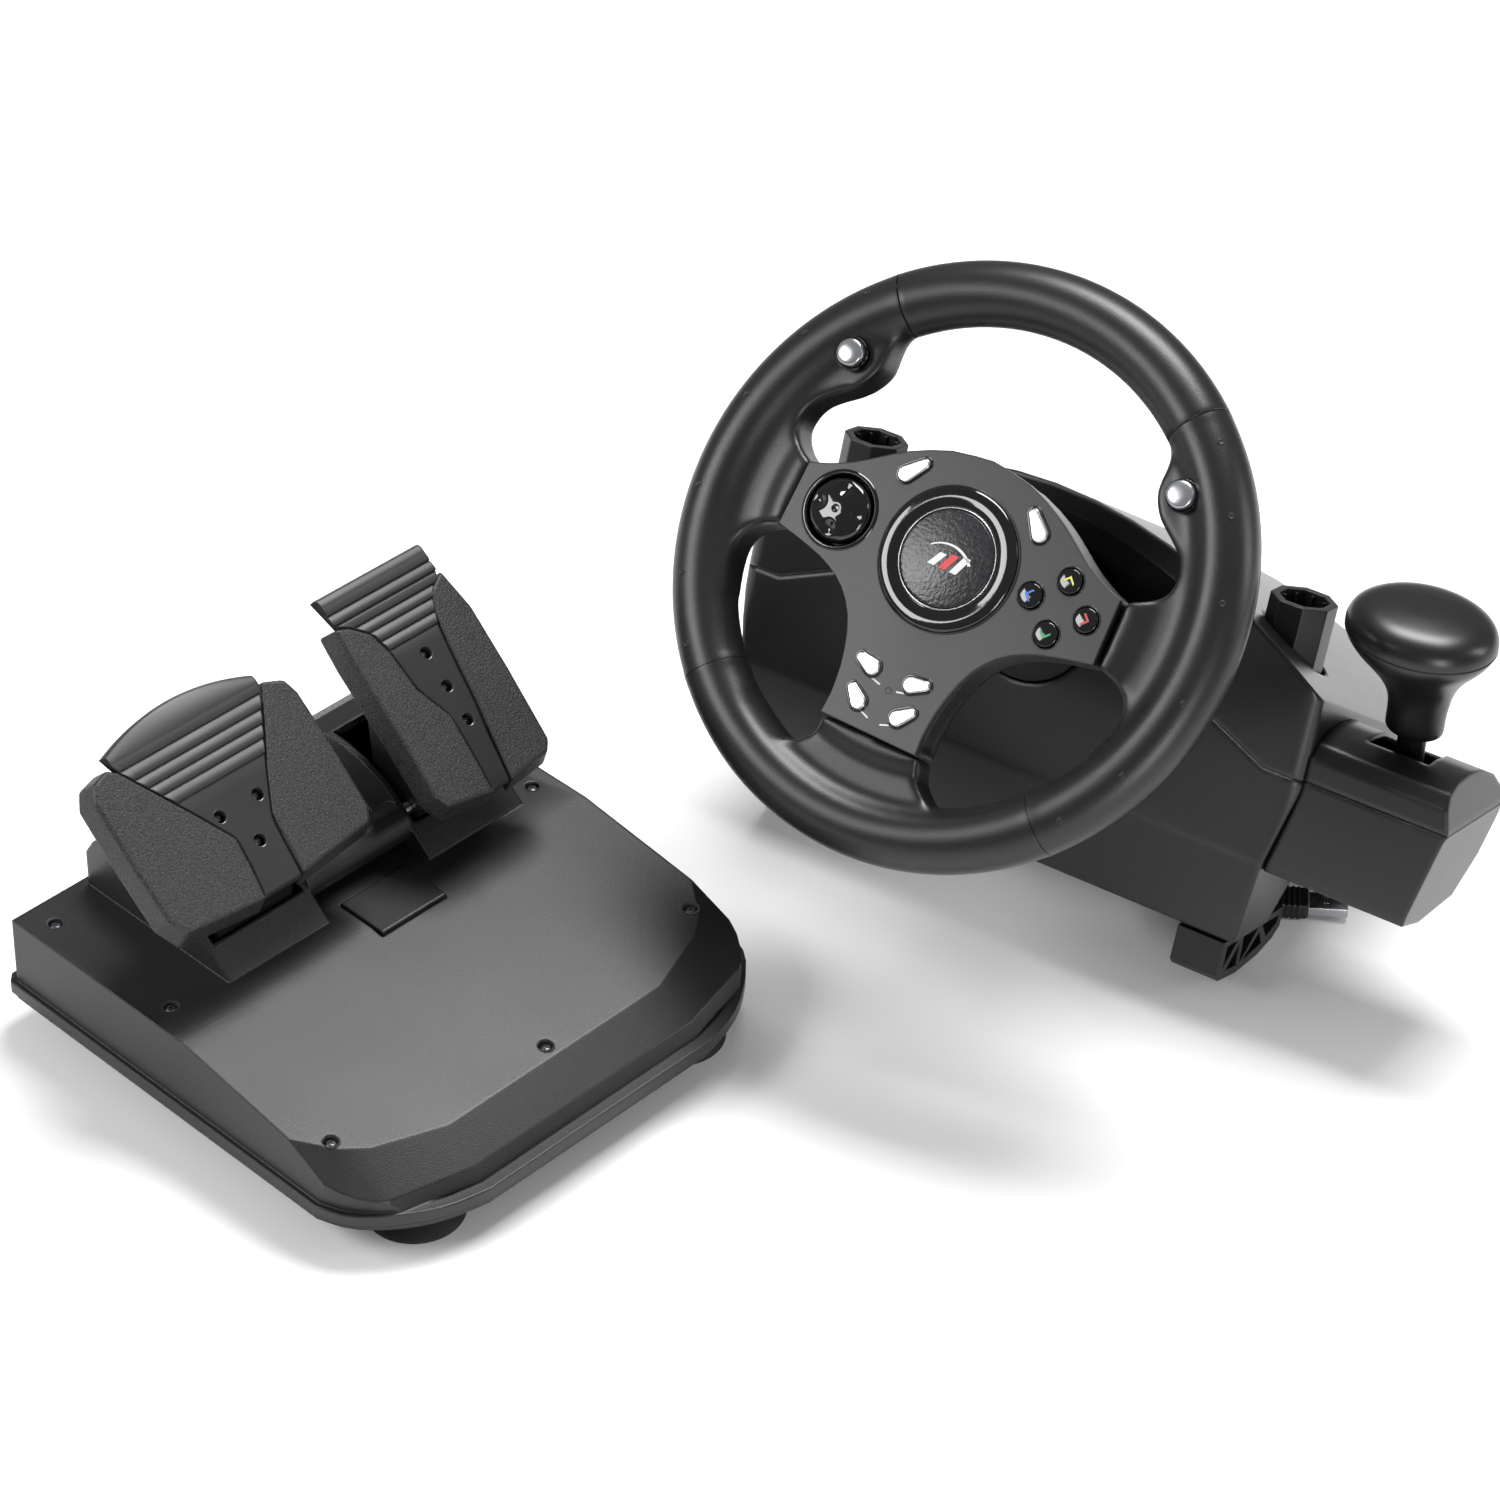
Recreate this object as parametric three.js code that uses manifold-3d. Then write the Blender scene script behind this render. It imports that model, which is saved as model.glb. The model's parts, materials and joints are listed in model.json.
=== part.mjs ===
// A racing wheel for a games computer, in millimetres, +Z up, driver facing +Y.
// Two free-standing units share one frame: the wheel unit (steering wheel, housing, gear lever and
// table clamps) and the pedal unit (brake and throttle). The wheel unit stands on its two clamp
// jaws and the rubber strip under its rear edge, so its housing leans back.
import * as THREE from "three";
import { mergeVertices } from "three/addons/utils/BufferGeometryUtils.js";
import Module from "manifold-3d";

const wasm = await Module();
wasm.setup();

// ---- driving dimensions -------------------------------------------------------------------
const GAP = 0.3; // clearance between neighbouring pieces
const WALL = 3; // moulded wall

// Wheel
const RIM_OUTER = 135;
const TUBE = 14.6; // radius of the rim's round section
const RIM_MID = RIM_OUTER - TUBE;
const HUB_HEIGHT = 216.4; // rim centre above the floor
const WHEEL_TILT = 42.5; // degrees the wheel leans back from upright
const STEER_REST = -2.8; // degrees the wheel is turned at rest
const FACE = 13.3; // front of the hub plate, in front of the rim's centre plane
const PLATE = 3.2;
const TOP_JOINT = 52; // degrees round the rim from its right-hand side
const BOTTOM_JOINT = -45.5;
const THUMB = [84.3, 64.8];
const DPAD = [-56.7, 0.3];
const FACE_CLUSTER = [55.8, 0.2];
const RING_RADIUS = 32.2;
const BADGE_RADIUS = 22;

// Housing, in the leaning frame: x right, y back, z up
const LEAN = 18.5; // degrees
const FLOOR_DROP = 29; // height of the leaning frame's origin above the floor
const FRONT = 21; // y of the front face
const REAR = 215;
const BASE_BOTTOM = 46;
const HALF_WIDTH = 147;
const SEAM = 109.5; // z where the upper and lower shells meet at the front corners
const SEAM_FALL = 0.28; // how fast the seam drops towards the back
const ROOF_TOP = 200;
const ROOF_CURVE = 0.0024;
const ROOF_FALL = 0.37;
const CREASE = 66; // z where the front face turns under
const APRON_BOTTOM = 20;
const APRON_BACK = 68;

// Clamps
const CLAMP_X = 112;
const CLAMP_Y = 61;
const JAW = { front: 38, back: 102, half: 12, top: 16 };
const HANDLE = { top: 176, bottom: 118, radius: 14.2, bore: 10.6 };

// Gear lever
const LEVER = { x: 176.5, y: 72, z: 92, lean: 14, neck: 6.5, base: 47, cap: 92 };
const SLOT = { x0: 163, x1: 193, y0: 44, y1: 81 };

// Pedal unit, in its own frame: x right, y back, z up, origin at the middle of the front edge
const PEDAL_YAW = 79.26;
const PEDAL_AT = [-48.6, -202.8];
const PEDAL_SCALE = 1.022; // the pedal unit below is drawn this much under size
const PB = { half: 123, depth: 248, top: 55.5, knee: 131, flange0: 18, flange1: 24 };
const HINGE = { y: 168, z: 70 };
const BRAKE_X = -50;
const THROTTLE_X = 66;
const BLOCK = { brake: [-78.5, -21.4], throttle: [38, 94.4] };
const CUP = { x: 78, y: 33, radius: 22 };
const HATCH = { x0: -11, x1: 27, y0: 124, y1: 152 };

// Cable
const CABLE = 2; // radius
const COIL = { x: 63.5, y: 282, inner: 12.5, outer: 34.9, height: 13 };
const PLUG = { x: 106, y: 106, z: 4.6, angle: 28 };

// ---- materials ----------------------------------------------------------------------------
function plastic(color, roughness = 0.5, metalness = 0) {
  return new THREE.MeshStandardMaterial({ color, roughness, metalness });
}
const SATIN = plastic(0x232427, 0.42);
const SHELL = plastic(0x1d1e20, 0.45);
const GRIP = plastic(0x1a1b1c, 0.6);
const GLOSS = plastic(0x08090a, 0.12);
const SILVER = plastic(0xc9ccd0, 0.3, 0.6);
const DARK = plastic(0x161718, 0.6);
const RUBBER = plastic(0x101112, 0.85);
const STEEL = plastic(0xa8abb0, 0.35, 1);
const BOARD = plastic(0x1d5a35, 0.6);

// ---- solids -------------------------------------------------------------------------------
function turned(indices) {
  const out = new Uint32Array(indices);
  for (let i = 0; i < out.length; i += 3) {
    [out[i + 1], out[i + 2]] = [out[i + 2], out[i + 1]];
  }
  return out;
}

// A closed geometry as a manifold-3d solid, with its faces pointing out.
function solid(geometry) {
  const bare = geometry.clone();
  bare.deleteAttribute("normal");
  bare.deleteAttribute("uv");
  const merged = mergeVertices(bare, 1e-4);
  const kept = [];
  const index = merged.index.array;
  for (let i = 0; i < index.length; i += 3) {
    const [a, b, c] = [index[i], index[i + 1], index[i + 2]];
    if (a !== b && b !== c && a !== c) kept.push(a, b, c);
  }
  const vertProperties = merged.attributes.position.array;
  const triVerts = new Uint32Array(kept);
  const made = new wasm.Manifold(new wasm.Mesh({ numProp: 3, vertProperties, triVerts }));
  if (made.volume() > 0) return made;
  return new wasm.Manifold(
    new wasm.Mesh({ numProp: 3, vertProperties, triVerts: turned(triVerts) }),
  );
}

function geometryOf(made) {
  const mesh = made.getMesh();
  const geometry = new THREE.BufferGeometry();
  const position = new THREE.BufferAttribute(new Float32Array(mesh.vertProperties), 3);
  geometry.setAttribute("position", position);
  geometry.setIndex(new THREE.BufferAttribute(new Uint32Array(mesh.triVerts), 1));
  geometry.computeVertexNormals();
  return geometry;
}

function piece(group, name, made, material) {
  const mesh = new THREE.Mesh(geometryOf(made), material);
  mesh.name = name;
  group.add(mesh);
  return mesh;
}

const shapeOf = (points) => new THREE.Shape(points.map(([x, y]) => new THREE.Vector2(x, y)));

// An outline in x and y, from z0 to z1.
function prism(points, z0, z1) {
  const geometry = new THREE.ExtrudeGeometry(shapeOf(points), {
    depth: z1 - z0,
    bevelEnabled: false,
    curveSegments: 8,
  });
  geometry.translate(0, 0, z0);
  return solid(geometry);
}

// An outline in y and z, from x0 to x1.
function alongX(points, x0, x1) {
  const geometry = new THREE.ExtrudeGeometry(shapeOf(points), {
    depth: x1 - x0,
    bevelEnabled: false,
  });
  const basis = new THREE.Matrix4().makeBasis(
    new THREE.Vector3(0, 1, 0),
    new THREE.Vector3(0, 0, 1),
    new THREE.Vector3(1, 0, 0),
  );
  geometry.applyMatrix4(basis).translate(x0, 0, 0);
  return solid(geometry);
}

// An outline in x and z, from y0 to y1; fall lowers z for each unit of y past y0.
function alongY(points, y0, y1, fall = 0) {
  const geometry = new THREE.ExtrudeGeometry(shapeOf(points), {
    depth: y1 - y0,
    bevelEnabled: false,
  });
  geometry.rotateX(Math.PI / 2).translate(0, y1, 0);
  const at = geometry.attributes.position;
  for (let i = 0; i < at.count; i++) at.setZ(i, at.getZ(i) - fall * (at.getY(i) - y0));
  return solid(geometry);
}

function box(x0, x1, y0, y1, z0, z1) {
  const geometry = new THREE.BoxGeometry(x1 - x0, y1 - y0, z1 - z0);
  geometry.translate((x0 + x1) / 2, (y0 + y1) / 2, (z0 + z1) / 2);
  return solid(geometry);
}

// A round bar or cone up z at (x, y).
function bar(x, y, z0, z1, radius, segments = 20, topRadius = radius) {
  const geometry = new THREE.CylinderGeometry(topRadius, radius, z1 - z0, segments);
  geometry.rotateX(Math.PI / 2).translate(x, y, (z0 + z1) / 2);
  return solid(geometry);
}

// A round bar along x at (y, z).
function barX(x0, x1, y, z, radius, segments = 16) {
  const geometry = new THREE.CylinderGeometry(radius, radius, x1 - x0, segments);
  geometry.rotateZ(Math.PI / 2).translate((x0 + x1) / 2, y, z);
  return solid(geometry);
}

// A profile of [radius, z] turned about z.
function lathe(profile, segments = 32) {
  const points = profile.map(([r, z]) => new THREE.Vector2(r, z));
  return solid(new THREE.LatheGeometry(points, segments).rotateX(Math.PI / 2));
}

function ring(inner, outer, z0, z1, segments = 32) {
  return lathe([[inner, z0], [outer, z0], [outer, z1], [inner, z1], [inner, z0]], segments);
}

function polar(radius, degrees) {
  const a = THREE.MathUtils.degToRad(degrees);
  return [radius * Math.cos(a), radius * Math.sin(a)];
}

function arc(cx, cy, radius, from, to, steps) {
  return Array.from({ length: steps + 1 }, (_, i) => {
    const [x, y] = polar(radius, from + ((to - from) * i) / steps);
    return [cx + x, cy + y];
  });
}

const mirrored = (points) => points.map(([x, y]) => [-x, y]).reverse();

function smooth(points, steps) {
  const curve = new THREE.SplineCurve(points.map(([x, y]) => new THREE.Vector2(x, y)));
  return curve.getPoints(steps).map((p) => [p.x, p.y]);
}

function at(made, x, y, z = 0) {
  return made.translate([x, y, z]);
}

// ---- the steering wheel, in its own frame: x right, y up the wheel, z towards the driver ------
const ROUND = 12;

function rimRing() {
  const section = arc(RIM_MID, 0, TUBE, 0, 360, ROUND).slice(0, -1);
  return lathe([...section, section[0]], 60);
}

function sector(from, to) {
  const inset = THREE.MathUtils.radToDeg(GAP / 2 / RIM_MID);
  const outline = [[0, 0], ...arc(0, 0, 175, from + inset, to - inset, 8)];
  return prism(outline, -40, 40);
}

// Half of the opening's edge beside each grip, from the top joint down to the spoke.
const GRIP_UPPER = [[62.5, 89.5], [65.5, 80], [68.5, 71], [72, 60], [77.5, 52.3], [85.5, 46.5],
  [92.8, 40], [96, 31], [94.5, 23.5], [88, 17.8], [80.6, 14.4]];
const GRIP_LOWER = [[81.6, -15.9], [89, -17.8], [96.4, -22.8], [99.2, -30.5], [97.8, -40], [92.4, -51.6]];

function gripRight() {
  const inner = [...smooth(GRIP_UPPER, 22), ...smooth(GRIP_LOWER, 10)];
  const outline = [...inner, ...arc(0, 0, RIM_MID, -31, TOP_JOINT + 3, 12)];
  const lobe = prism(outline, -9.5, 11).intersect(sector(BOTTOM_JOINT, TOP_JOINT));
  const made = rimRing().intersect(sector(BOTTOM_JOINT, TOP_JOINT)).add(lobe);
  return made.subtract(at(bar(0, 0, 3, 20, 7.2, 20), ...THUMB));
}

function rimBottom() {
  const stub = [[-24.6, -82.5 - GAP], [-26.5, -92], [-33, -98], [-42, -101], [-46, -112],
    [46, -112], [42, -101], [34, -98], [26.5, -92], [25.2, -82.5 - GAP]];
  const span = sector(180 - BOTTOM_JOINT, 360 + BOTTOM_JOINT);
  return rimRing().intersect(span).add(prism(stub, -8, 10));
}

// The hub plate's outline: three spokes with hollow sides.
const HUB_TOP = [[80, 14.2], [72, 16.6], [60.5, 21.8], [50, 28.6], [38, 36], [20, 43.4], [0, 46.4]];
const HUB_SIDE = [[81, -15.8], [67, -18.8], [53, -22.8], [41, -29.6], [31.6, -41], [26, -57],
  [24, -72], [24.6, -82.5]];

function hubOutline(inset = 0) {
  const right = [...smooth(HUB_SIDE, 16).reverse(), ...smooth(HUB_TOP, 12)];
  const outline = [...right, ...mirrored(right.slice(0, -1))];
  if (!inset) return outline;
  return outline.map(([x, y]) => {
    const reach = Math.hypot(x, y) || 1;
    return [x - (inset * x) / reach, y - (inset * y) / reach];
  });
}

// A rounded teardrop, long in x, for the small silver buttons.
function teardrop(length, wide, narrow) {
  const tail = arc(-length / 2 + narrow, 0, narrow, 90, 270, 5);
  const head = arc(length / 2 - wide, 0, wide, -90, 90, 7);
  return [...tail, ...head];
}

const SMALL_BUTTONS = {
  button_left_bumper: { at: [-32.3, 29.3], turn: 228, size: [16, 3.9, 2.6] },
  button_right_bumper: { at: [31.2, 28.6], turn: -48, size: [16, 3.9, 2.6] },
  button_select: { at: [-13.4, -54.8], turn: -18, size: [13, 3.9, 2.6] },
  button_home: { at: [-12.2, -69.8], turn: -42, size: [13, 3.8, 2.6] },
  button_start: { at: [11.8, -54.9], turn: 198, size: [13, 3.9, 2.6] },
  button_mode: { at: [11.9, -69.5], turn: 222, size: [13, 3.8, 2.6] },
};
const FACE_BUTTONS = {
  button_face_west: [-13.9, 0],
  button_face_north: [0, 12.4],
  button_face_east: [13.9, 0],
  button_face_south: [0, -12.4],
};

function smallButton({ at: [x, y], turn, size: [length, wide, narrow] }, grow, z0, z1) {
  const outline = teardrop(length + 2 * grow, wide + grow, narrow + grow);
  return prism(outline, z0, z1).rotate([0, 0, turn]).translate([x, y, 0]);
}

function hubPlate() {
  let plate = prism(hubOutline(), FACE - PLATE, FACE);
  const cut = (made) => {
    plate = plate.subtract(made);
  };
  cut(at(bar(0, 0, 0, 30, 16.2, 24), ...DPAD));
  cut(bar(0, 0, 0, 30, RING_RADIUS - 3, 28));
  for (const [dx, dy] of Object.values(FACE_BUTTONS)) {
    cut(at(bar(0, 0, 0, 30, 6, 16), FACE_CLUSTER[0] + dx, FACE_CLUSTER[1] + dy));
  }
  for (const button of Object.values(SMALL_BUTTONS)) cut(smallButton(button, 0.4, 0, 30));
  return plate;
}

function hubRear() {
  const top = FACE - PLATE - GAP;
  const outer = prism(hubOutline(0.8), -7, top).add(bar(0, 0, -24, -6, 38, 28, 43));
  const inner = prism(hubOutline(3.6), -4, top + 5).add(bar(0, 0, -21, -2, 35, 28, 40));
  let shell = outer.subtract(inner).subtract(bar(0, 0, -30, -10, 4, 16));
  for (const button of Object.values(SMALL_BUTTONS)) {
    shell = shell.subtract(smallButton(button, 0.6, 5, 20));
  }
  return shell;
}

function hubRing() {
  const z = FACE + GAP;
  return lathe([[23, z], [RING_RADIUS, z], [RING_RADIUS, z + 1.2], [RING_RADIUS - 1.6, z + 2.4],
    [24, z + 1.6], [23, z + 1.2], [23, z]], 32);
}

function hubBadge() {
  return lathe([[0, 9], [BADGE_RADIUS, 9], [BADGE_RADIUS, FACE + 1.6], [BADGE_RADIUS - 1, FACE + 2.4],
    [0, FACE + 2.8]], 28);
}

function faceButton(dx, dy) {
  const cap = lathe([[0, 8], [5.5, 8], [5.5, FACE + 1], [4.6, FACE + 1.7], [0, FACE + 2]], 14);
  return at(cap, FACE_CLUSTER[0] + dx, FACE_CLUSTER[1] + dy);
}

function dpadDome() {
  const dome = [[0, 9.2], [14.6, 9.2], [14.6, 13.4], [13, 15.6], [9.5, 17], [0, 18]];
  return at(lathe(dome, 24), ...DPAD);
}

function thumbButton(x) {
  const cap = lathe([[0, 8], [6.4, 8], [6.4, 14.6], [5.4, 15.6], [0, 16]], 16);
  return at(cap, x, THUMB[1]);
}

// The steering shaft, with the gear moulded on it that drives the position sensor.
function gearOutline(teeth, pitch, depth, phase = 0) {
  const points = [];
  for (let i = 0; i < teeth; i++) {
    const step = 360 / teeth;
    const a = phase + i * step;
    points.push(polar(pitch - depth / 2, a - 0.3 * step), polar(pitch + depth / 2, a - 0.12 * step));
    points.push(polar(pitch + depth / 2, a + 0.12 * step), polar(pitch - depth / 2, a + 0.3 * step));
  }
  return points;
}
const GEAR = { teeth: 27, pitch: 27, z: -150 };
const PINION = { teeth: 9, pitch: 9, x: 37 };

function steeringShaft() {
  const flange = bar(0, 0, -27.5, -24 - GAP, 22, 28);
  const stem = bar(0, 0, -160, -27, 7, 20);
  const gear = prism(gearOutline(GEAR.teeth, GEAR.pitch, 3.6), GEAR.z, GEAR.z + 8);
  return flange.add(stem).add(gear);
}

function sensorPinion() {
  const meshed = 180 - (STEER_REST * GEAR.teeth) / PINION.teeth + 180 / PINION.teeth;
  const teeth = gearOutline(PINION.teeth, PINION.pitch, 3.2, meshed);
  const gear = prism(teeth, GEAR.z, GEAR.z + 8).add(bar(0, 0, GEAR.z + 7, GEAR.z + 14, 3, 12));
  return at(gear, PINION.x, 0);
}

function columnBearing() {
  const outer = lathe([[0, -30], [24, -30], [27, -34], [33, -92], [33, -112], [0, -112]], 32);
  return outer.subtract(bar(0, 0, -170, 0, 7.3, 24));
}

// ---- the housing, in the leaning frame ----------------------------------------------------
function roofLine(inset, half = 200) {
  const steps = 20;
  return Array.from({ length: steps + 1 }, (_, i) => {
    const x = half - (2 * half * i) / steps;
    return [x, ROOF_TOP - inset - ROOF_CURVE * x * x];
  });
}

// The whole housing, shrunk by inset on every side.
function housing(inset) {
  const front = FRONT + inset;
  const rear = REAR - inset;
  const side = alongX(
    [[APRON_BACK - inset, APRON_BOTTOM + inset], [APRON_BACK + 10 - inset, BASE_BOTTOM + inset],
      [rear - 2, BASE_BOTTOM + inset], [rear, BASE_BOTTOM + 8], [rear - 8, 150], [rear - 20, 260],
      [front, 260], [front, CREASE], [33 + inset, APRON_BOTTOM + inset]],
    -180, 180,
  );
  const w = HALF_WIDTH - inset;
  const across = [[w - 19, 10 + inset], [w - 10, 62], [w, SEAM], [w - 1.5, 143], [w - 3, 260]];
  const sides = alongY([...across, ...mirrored(across)], 0, 260);
  const roof = alongY([[200, -60], ...roofLine(inset), [-200, -60]], FRONT, 260, ROOF_FALL);
  const plan = [...arc(w - 9, front + 9, 9, -90, 0, 4), [w, 150], [w - 22, rear - 4], [w - 30, rear]];
  const footprint = prism([...plan, ...mirrored(plan)], 0, 260);
  return side.intersect(sides).intersect(roof.add(frontRoof(inset))).intersect(footprint);
}

// The roof's section carried level in front of the front face, so nothing is cut there.
function frontRoof(inset) {
  return alongY([[200, -60], ...roofLine(inset), [-200, -60]], -20, FRONT + 0.5);
}

// The instrument hood's hollow, open to the front.
function hoodPocket(grow) {
  const half = 96 + grow;
  const steps = 10;
  const line = Array.from({ length: steps + 1 }, (_, i) => {
    const x = half - (2 * half * i) / steps;
    return [x, ROOF_TOP - 9 + grow - 1.15 * ROOF_CURVE * x * x];
  });
  return alongY([[half, 150 - grow], ...line, [-half, 150 - grow]], 0, 58 + grow, 0.1);
}

function belowSeam() {
  const line = [[220, SEAM], [127, SEAM], [62, 139], [-62, 139], [-127, SEAM], [-220, SEAM]];
  const level = alongY([[220, -60], ...line, [-220, -60]], -20, FRONT);
  return level.add(alongY([[220, -60], ...line, [-220, -60]], FRONT - 0.5, 260, SEAM_FALL));
}

function inLeaning(made) {
  // from the wheel's frame to the leaning frame
  return made
    .rotate([90 - WHEEL_TILT + LEAN, 0, 0])
    .translate([0, HUB_IN_LEANING[0], HUB_IN_LEANING[1]]);
}
const lean = THREE.MathUtils.degToRad(LEAN);
const HUB_IN_LEANING = [
  -(HUB_HEIGHT - FLOOR_DROP) * Math.sin(lean),
  (HUB_HEIGHT - FLOOR_DROP) * Math.cos(lean),
];

const octagon = (radius) => arc(0, 0, radius / Math.cos(Math.PI / 8), 22.5, 382.5, 8).slice(0, -1);

function housingShell() {
  const half = JAW.half + 0.6;
  let shell = housing(0).subtract(hoodPocket(0));
  shell = shell.subtract(housing(WALL).subtract(hoodPocket(WALL)));
  shell = shell.subtract(inLeaning(bar(0, 0, -120, -40, 34, 32)));
  for (const x of [-CLAMP_X, CLAMP_X]) {
    shell = shell.subtract(at(bar(0, 0, 100, 260, 17.4, 18), x, CLAMP_Y));
    shell = shell.subtract(box(x - 12, x + 12, 47, 77, 0, 60)); // for the jaw's post
    shell = shell.subtract(box(x - half, x + half, JAW.front - 0.8, 80, 0, 44)); // for its plate
  }
  const exit = arc(40, 62, 5, 0, 360, 12).slice(0, -1);
  return shell.subtract(alongY(exit, REAR - 20, REAR + 20));
}

// A tube round each clamp handle, moulded into the upper shell.
function handleTubes() {
  const tubes = [-CLAMP_X, CLAMP_X].map((x) => at(ring(17.4, 20.4, 112, 260, 18), x, CLAMP_Y));
  return tubes[0].add(tubes[1]).intersect(housing(0.6));
}

function upperShell() {
  return housingShell().add(handleTubes()).subtract(belowSeam().translate([0, 0, GAP]));
}

function lowerShell() {
  return housingShell().intersect(belowSeam());
}

// ---- the gear lever's box ------------------------------------------------------------------
const BOX_SIDE = [[27, 61], [25, 66], [25, 120], [29, 126.5], [38, 129.6], [52, 130.4], [65, 129],
  [78, 124], [88, 115], [93, 102], [93, 80], [84, 60], [50, 56]];
const BOX_SEAM = 109;

function gearBox(inset) {
  const [cy, cz] = [62, 93];
  const outline = BOX_SIDE.map(([y, z]) => {
    const reach = Math.hypot(y - cy, z - cz);
    return [y - (inset * (y - cy)) / reach, z - (inset * (z - cz)) / reach];
  });
  const body = alongX(outline, 120, 225);
  const end = 216 - inset;
  const taper = [[110, 30], [end - 12, 50], [end - 1.5, BOX_SEAM - 4], [end, BOX_SEAM],
    [end - 1.5, BOX_SEAM + 6], [end - 9, 140], [110, 140]];
  return body.intersect(alongY(taper, 0, 150, 0));
}

function gearBoxShell() {
  const slot = box(SLOT.x0, SLOT.x1, SLOT.y0, SLOT.y1, 112, 150);
  return gearBox(0).subtract(gearBox(WALL + 0.4)).subtract(housing(-GAP)).subtract(slot);
}

function gearBoxTop() {
  return gearBoxShell().subtract(box(100, 240, 0, 160, 0, BOX_SEAM + GAP));
}

function gearBoxBottom() {
  return gearBoxShell().intersect(box(100, 240, 0, 160, 0, BOX_SEAM));
}

// The lever and knob stand on their pivot with z along the lever.
function placeLever(made) {
  return made.rotate([LEVER.lean, 0, 0]).translate([LEVER.x, LEVER.y, LEVER.z]);
}

function gearLever() {
  const neck = lathe([[0, -12], [LEVER.neck, -12], [LEVER.neck, 60], [0, 60]], 16);
  const axle = barX(-14, 14, 0, 0, 6, 16);
  return placeLever(neck.add(axle));
}

function gearKnob() {
  const b = LEVER.base;
  const c = LEVER.cap;
  const profile = [[0, b], [12.4, b], [13.4, b + 1.5], [13.4, b + 8], [13.8, b + 15], [15.5, b + 23],
    [20, b + 31], [29, c - 7.5], [34.5, c - 4], [36, c + 1], [35, c + 5.5], [31, c + 9.5],
    [24, c + 13], [14, c + 15.4], [0, c + 16.4]];
  const whole = lathe(profile, 22).scale([1, 0.86, 1]);
  return placeLever(whole.subtract(bar(0, 0, b - 5, 60 + GAP, LEVER.neck + 0.15, 16)));
}

// ---- clamps --------------------------------------------------------------------------------
function clampScrew(x) {
  const handle = prism(octagon(HANDLE.radius), HANDLE.bottom, HANDLE.top);
  const bore = prism(octagon(HANDLE.bore), HANDLE.bottom + 12, HANDLE.top + 5);
  const rod = bar(0, 0, 22, HANDLE.bottom + 3, 4, 14);
  return at(handle.subtract(bore).add(rod), x, CLAMP_Y);
}

// The floor, as a line in the leaning frame.
const floorAt = (y) => y * Math.tan(lean) - FLOOR_DROP / Math.cos(lean);

function clampJaw(x) {
  const { front, back, half, top } = JAW;
  const foot = [[front, -1], [front + 3, -4], [60, -5.5], [82, -3], [back - 6, floorAt(back - 6)],
    [back, floorAt(back) + 2.6], [back, top], [front, top]];
  let jaw = alongX(foot, -half, half);
  const pockets = [
    [[front + 5, 1.5], [front + 5, top - 3], [54, top - 3]],
    [[front + 9, -0.5], [57, top - 5], [59, -1.5]],
    [[62, -1.5], [60, top - 3], [76, top - 3]],
    [[65, -1], [78, top - 6], [84, 2.5]],
    [[88, 4.5], [80, top - 3], [back - 4, top - 3], [back - 4, 9]],
  ];
  for (const outline of pockets) {
    jaw = jaw.subtract(alongX(outline, 2, half + 1));
    jaw = jaw.subtract(alongX(outline, -half - 1, -2));
  }
  const post = box(-9, 9, 50, 74, top - 2, 58);
  return at(jaw.add(post).subtract(bar(0, CLAMP_Y, -20, 80, 4.2, 14)), x, 0);
}

// One rubber strip under the rear edge.
function rearFoot() {
  const y = REAR - 16;
  const outline = [[y - 8, BASE_BOTTOM - GAP], [y - 8, floorAt(y - 8) + 5], [y + 6, floorAt(y + 6)],
    [y + 10, floorAt(y + 10)], [y + 10, BASE_BOTTOM - GAP]];
  const tunnel = box(18, 34, REAR - 40, REAR + 20, 0, floorAt(y + 10) + 5);
  return alongX(outline, -95, 95).subtract(tunnel);
}

// ---- inside the housing --------------------------------------------------------------------
function rumbleMotor(x) {
  return at(barX(-15, 13, 0, 0, 12, 20).add(barX(12, 18, 0, 0, 1.5, 10)), x, 130, 80);
}

function rumbleWeight(x) {
  const half = [[0, 0], ...arc(0, 0, 10, 0, 180, 8)];
  const fan = alongX([...half, [-3.6, 0], [-3.6, -3.6], [3.6, -3.6], [3.6, 0]].slice(1), 14, 21);
  return at(fan.subtract(barX(10, 30, 0, 0, 1.9, 10)), x, 130, 80);
}

function mainBoard() {
  return box(-75, 5, 80, 130, 56, 57.6);
}

function hubBoard() {
  const half = [[20, -72], [22, -50], [36, -24], [68, -10], [68, 8], [36, 24], [20, 36], [0, 38]];
  return prism([...half, ...mirrored(half.slice(0, -1))], 1, 2.6);
}

// ---- cable ---------------------------------------------------------------------------------
function tube(points, radius, sides, steps) {
  const curve = new THREE.CatmullRomCurve3(points.map((p) => new THREE.Vector3(...p)));
  const section = arc(0, 0, radius, 0, 360, sides).slice(0, -1);
  return solid(
    new THREE.ExtrudeGeometry(shapeOf(section), { steps, extrudePath: curve, bevelEnabled: false }),
  );
}

function strainRelief() {
  const sleeve = lathe([[0, -6], [4.6, -6], [4.6, 6], [2.6, 30], [0, 30]], 16);
  return sleeve.rotate([-90, 0, 0]).translate([40, REAR - 2, 62]);
}

function cableCoil() {
  const { inner, outer, height } = COIL;
  const profile = [[inner, 2], [inner + 2, 0], [outer - 2, 0], [outer, 2], [outer, height - 2],
    [outer - 2, height], [inner + 2, height], [inner, height - 2], [inner, 2]];
  return at(lathe(profile, 22), COIL.x, COIL.y);
}

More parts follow.
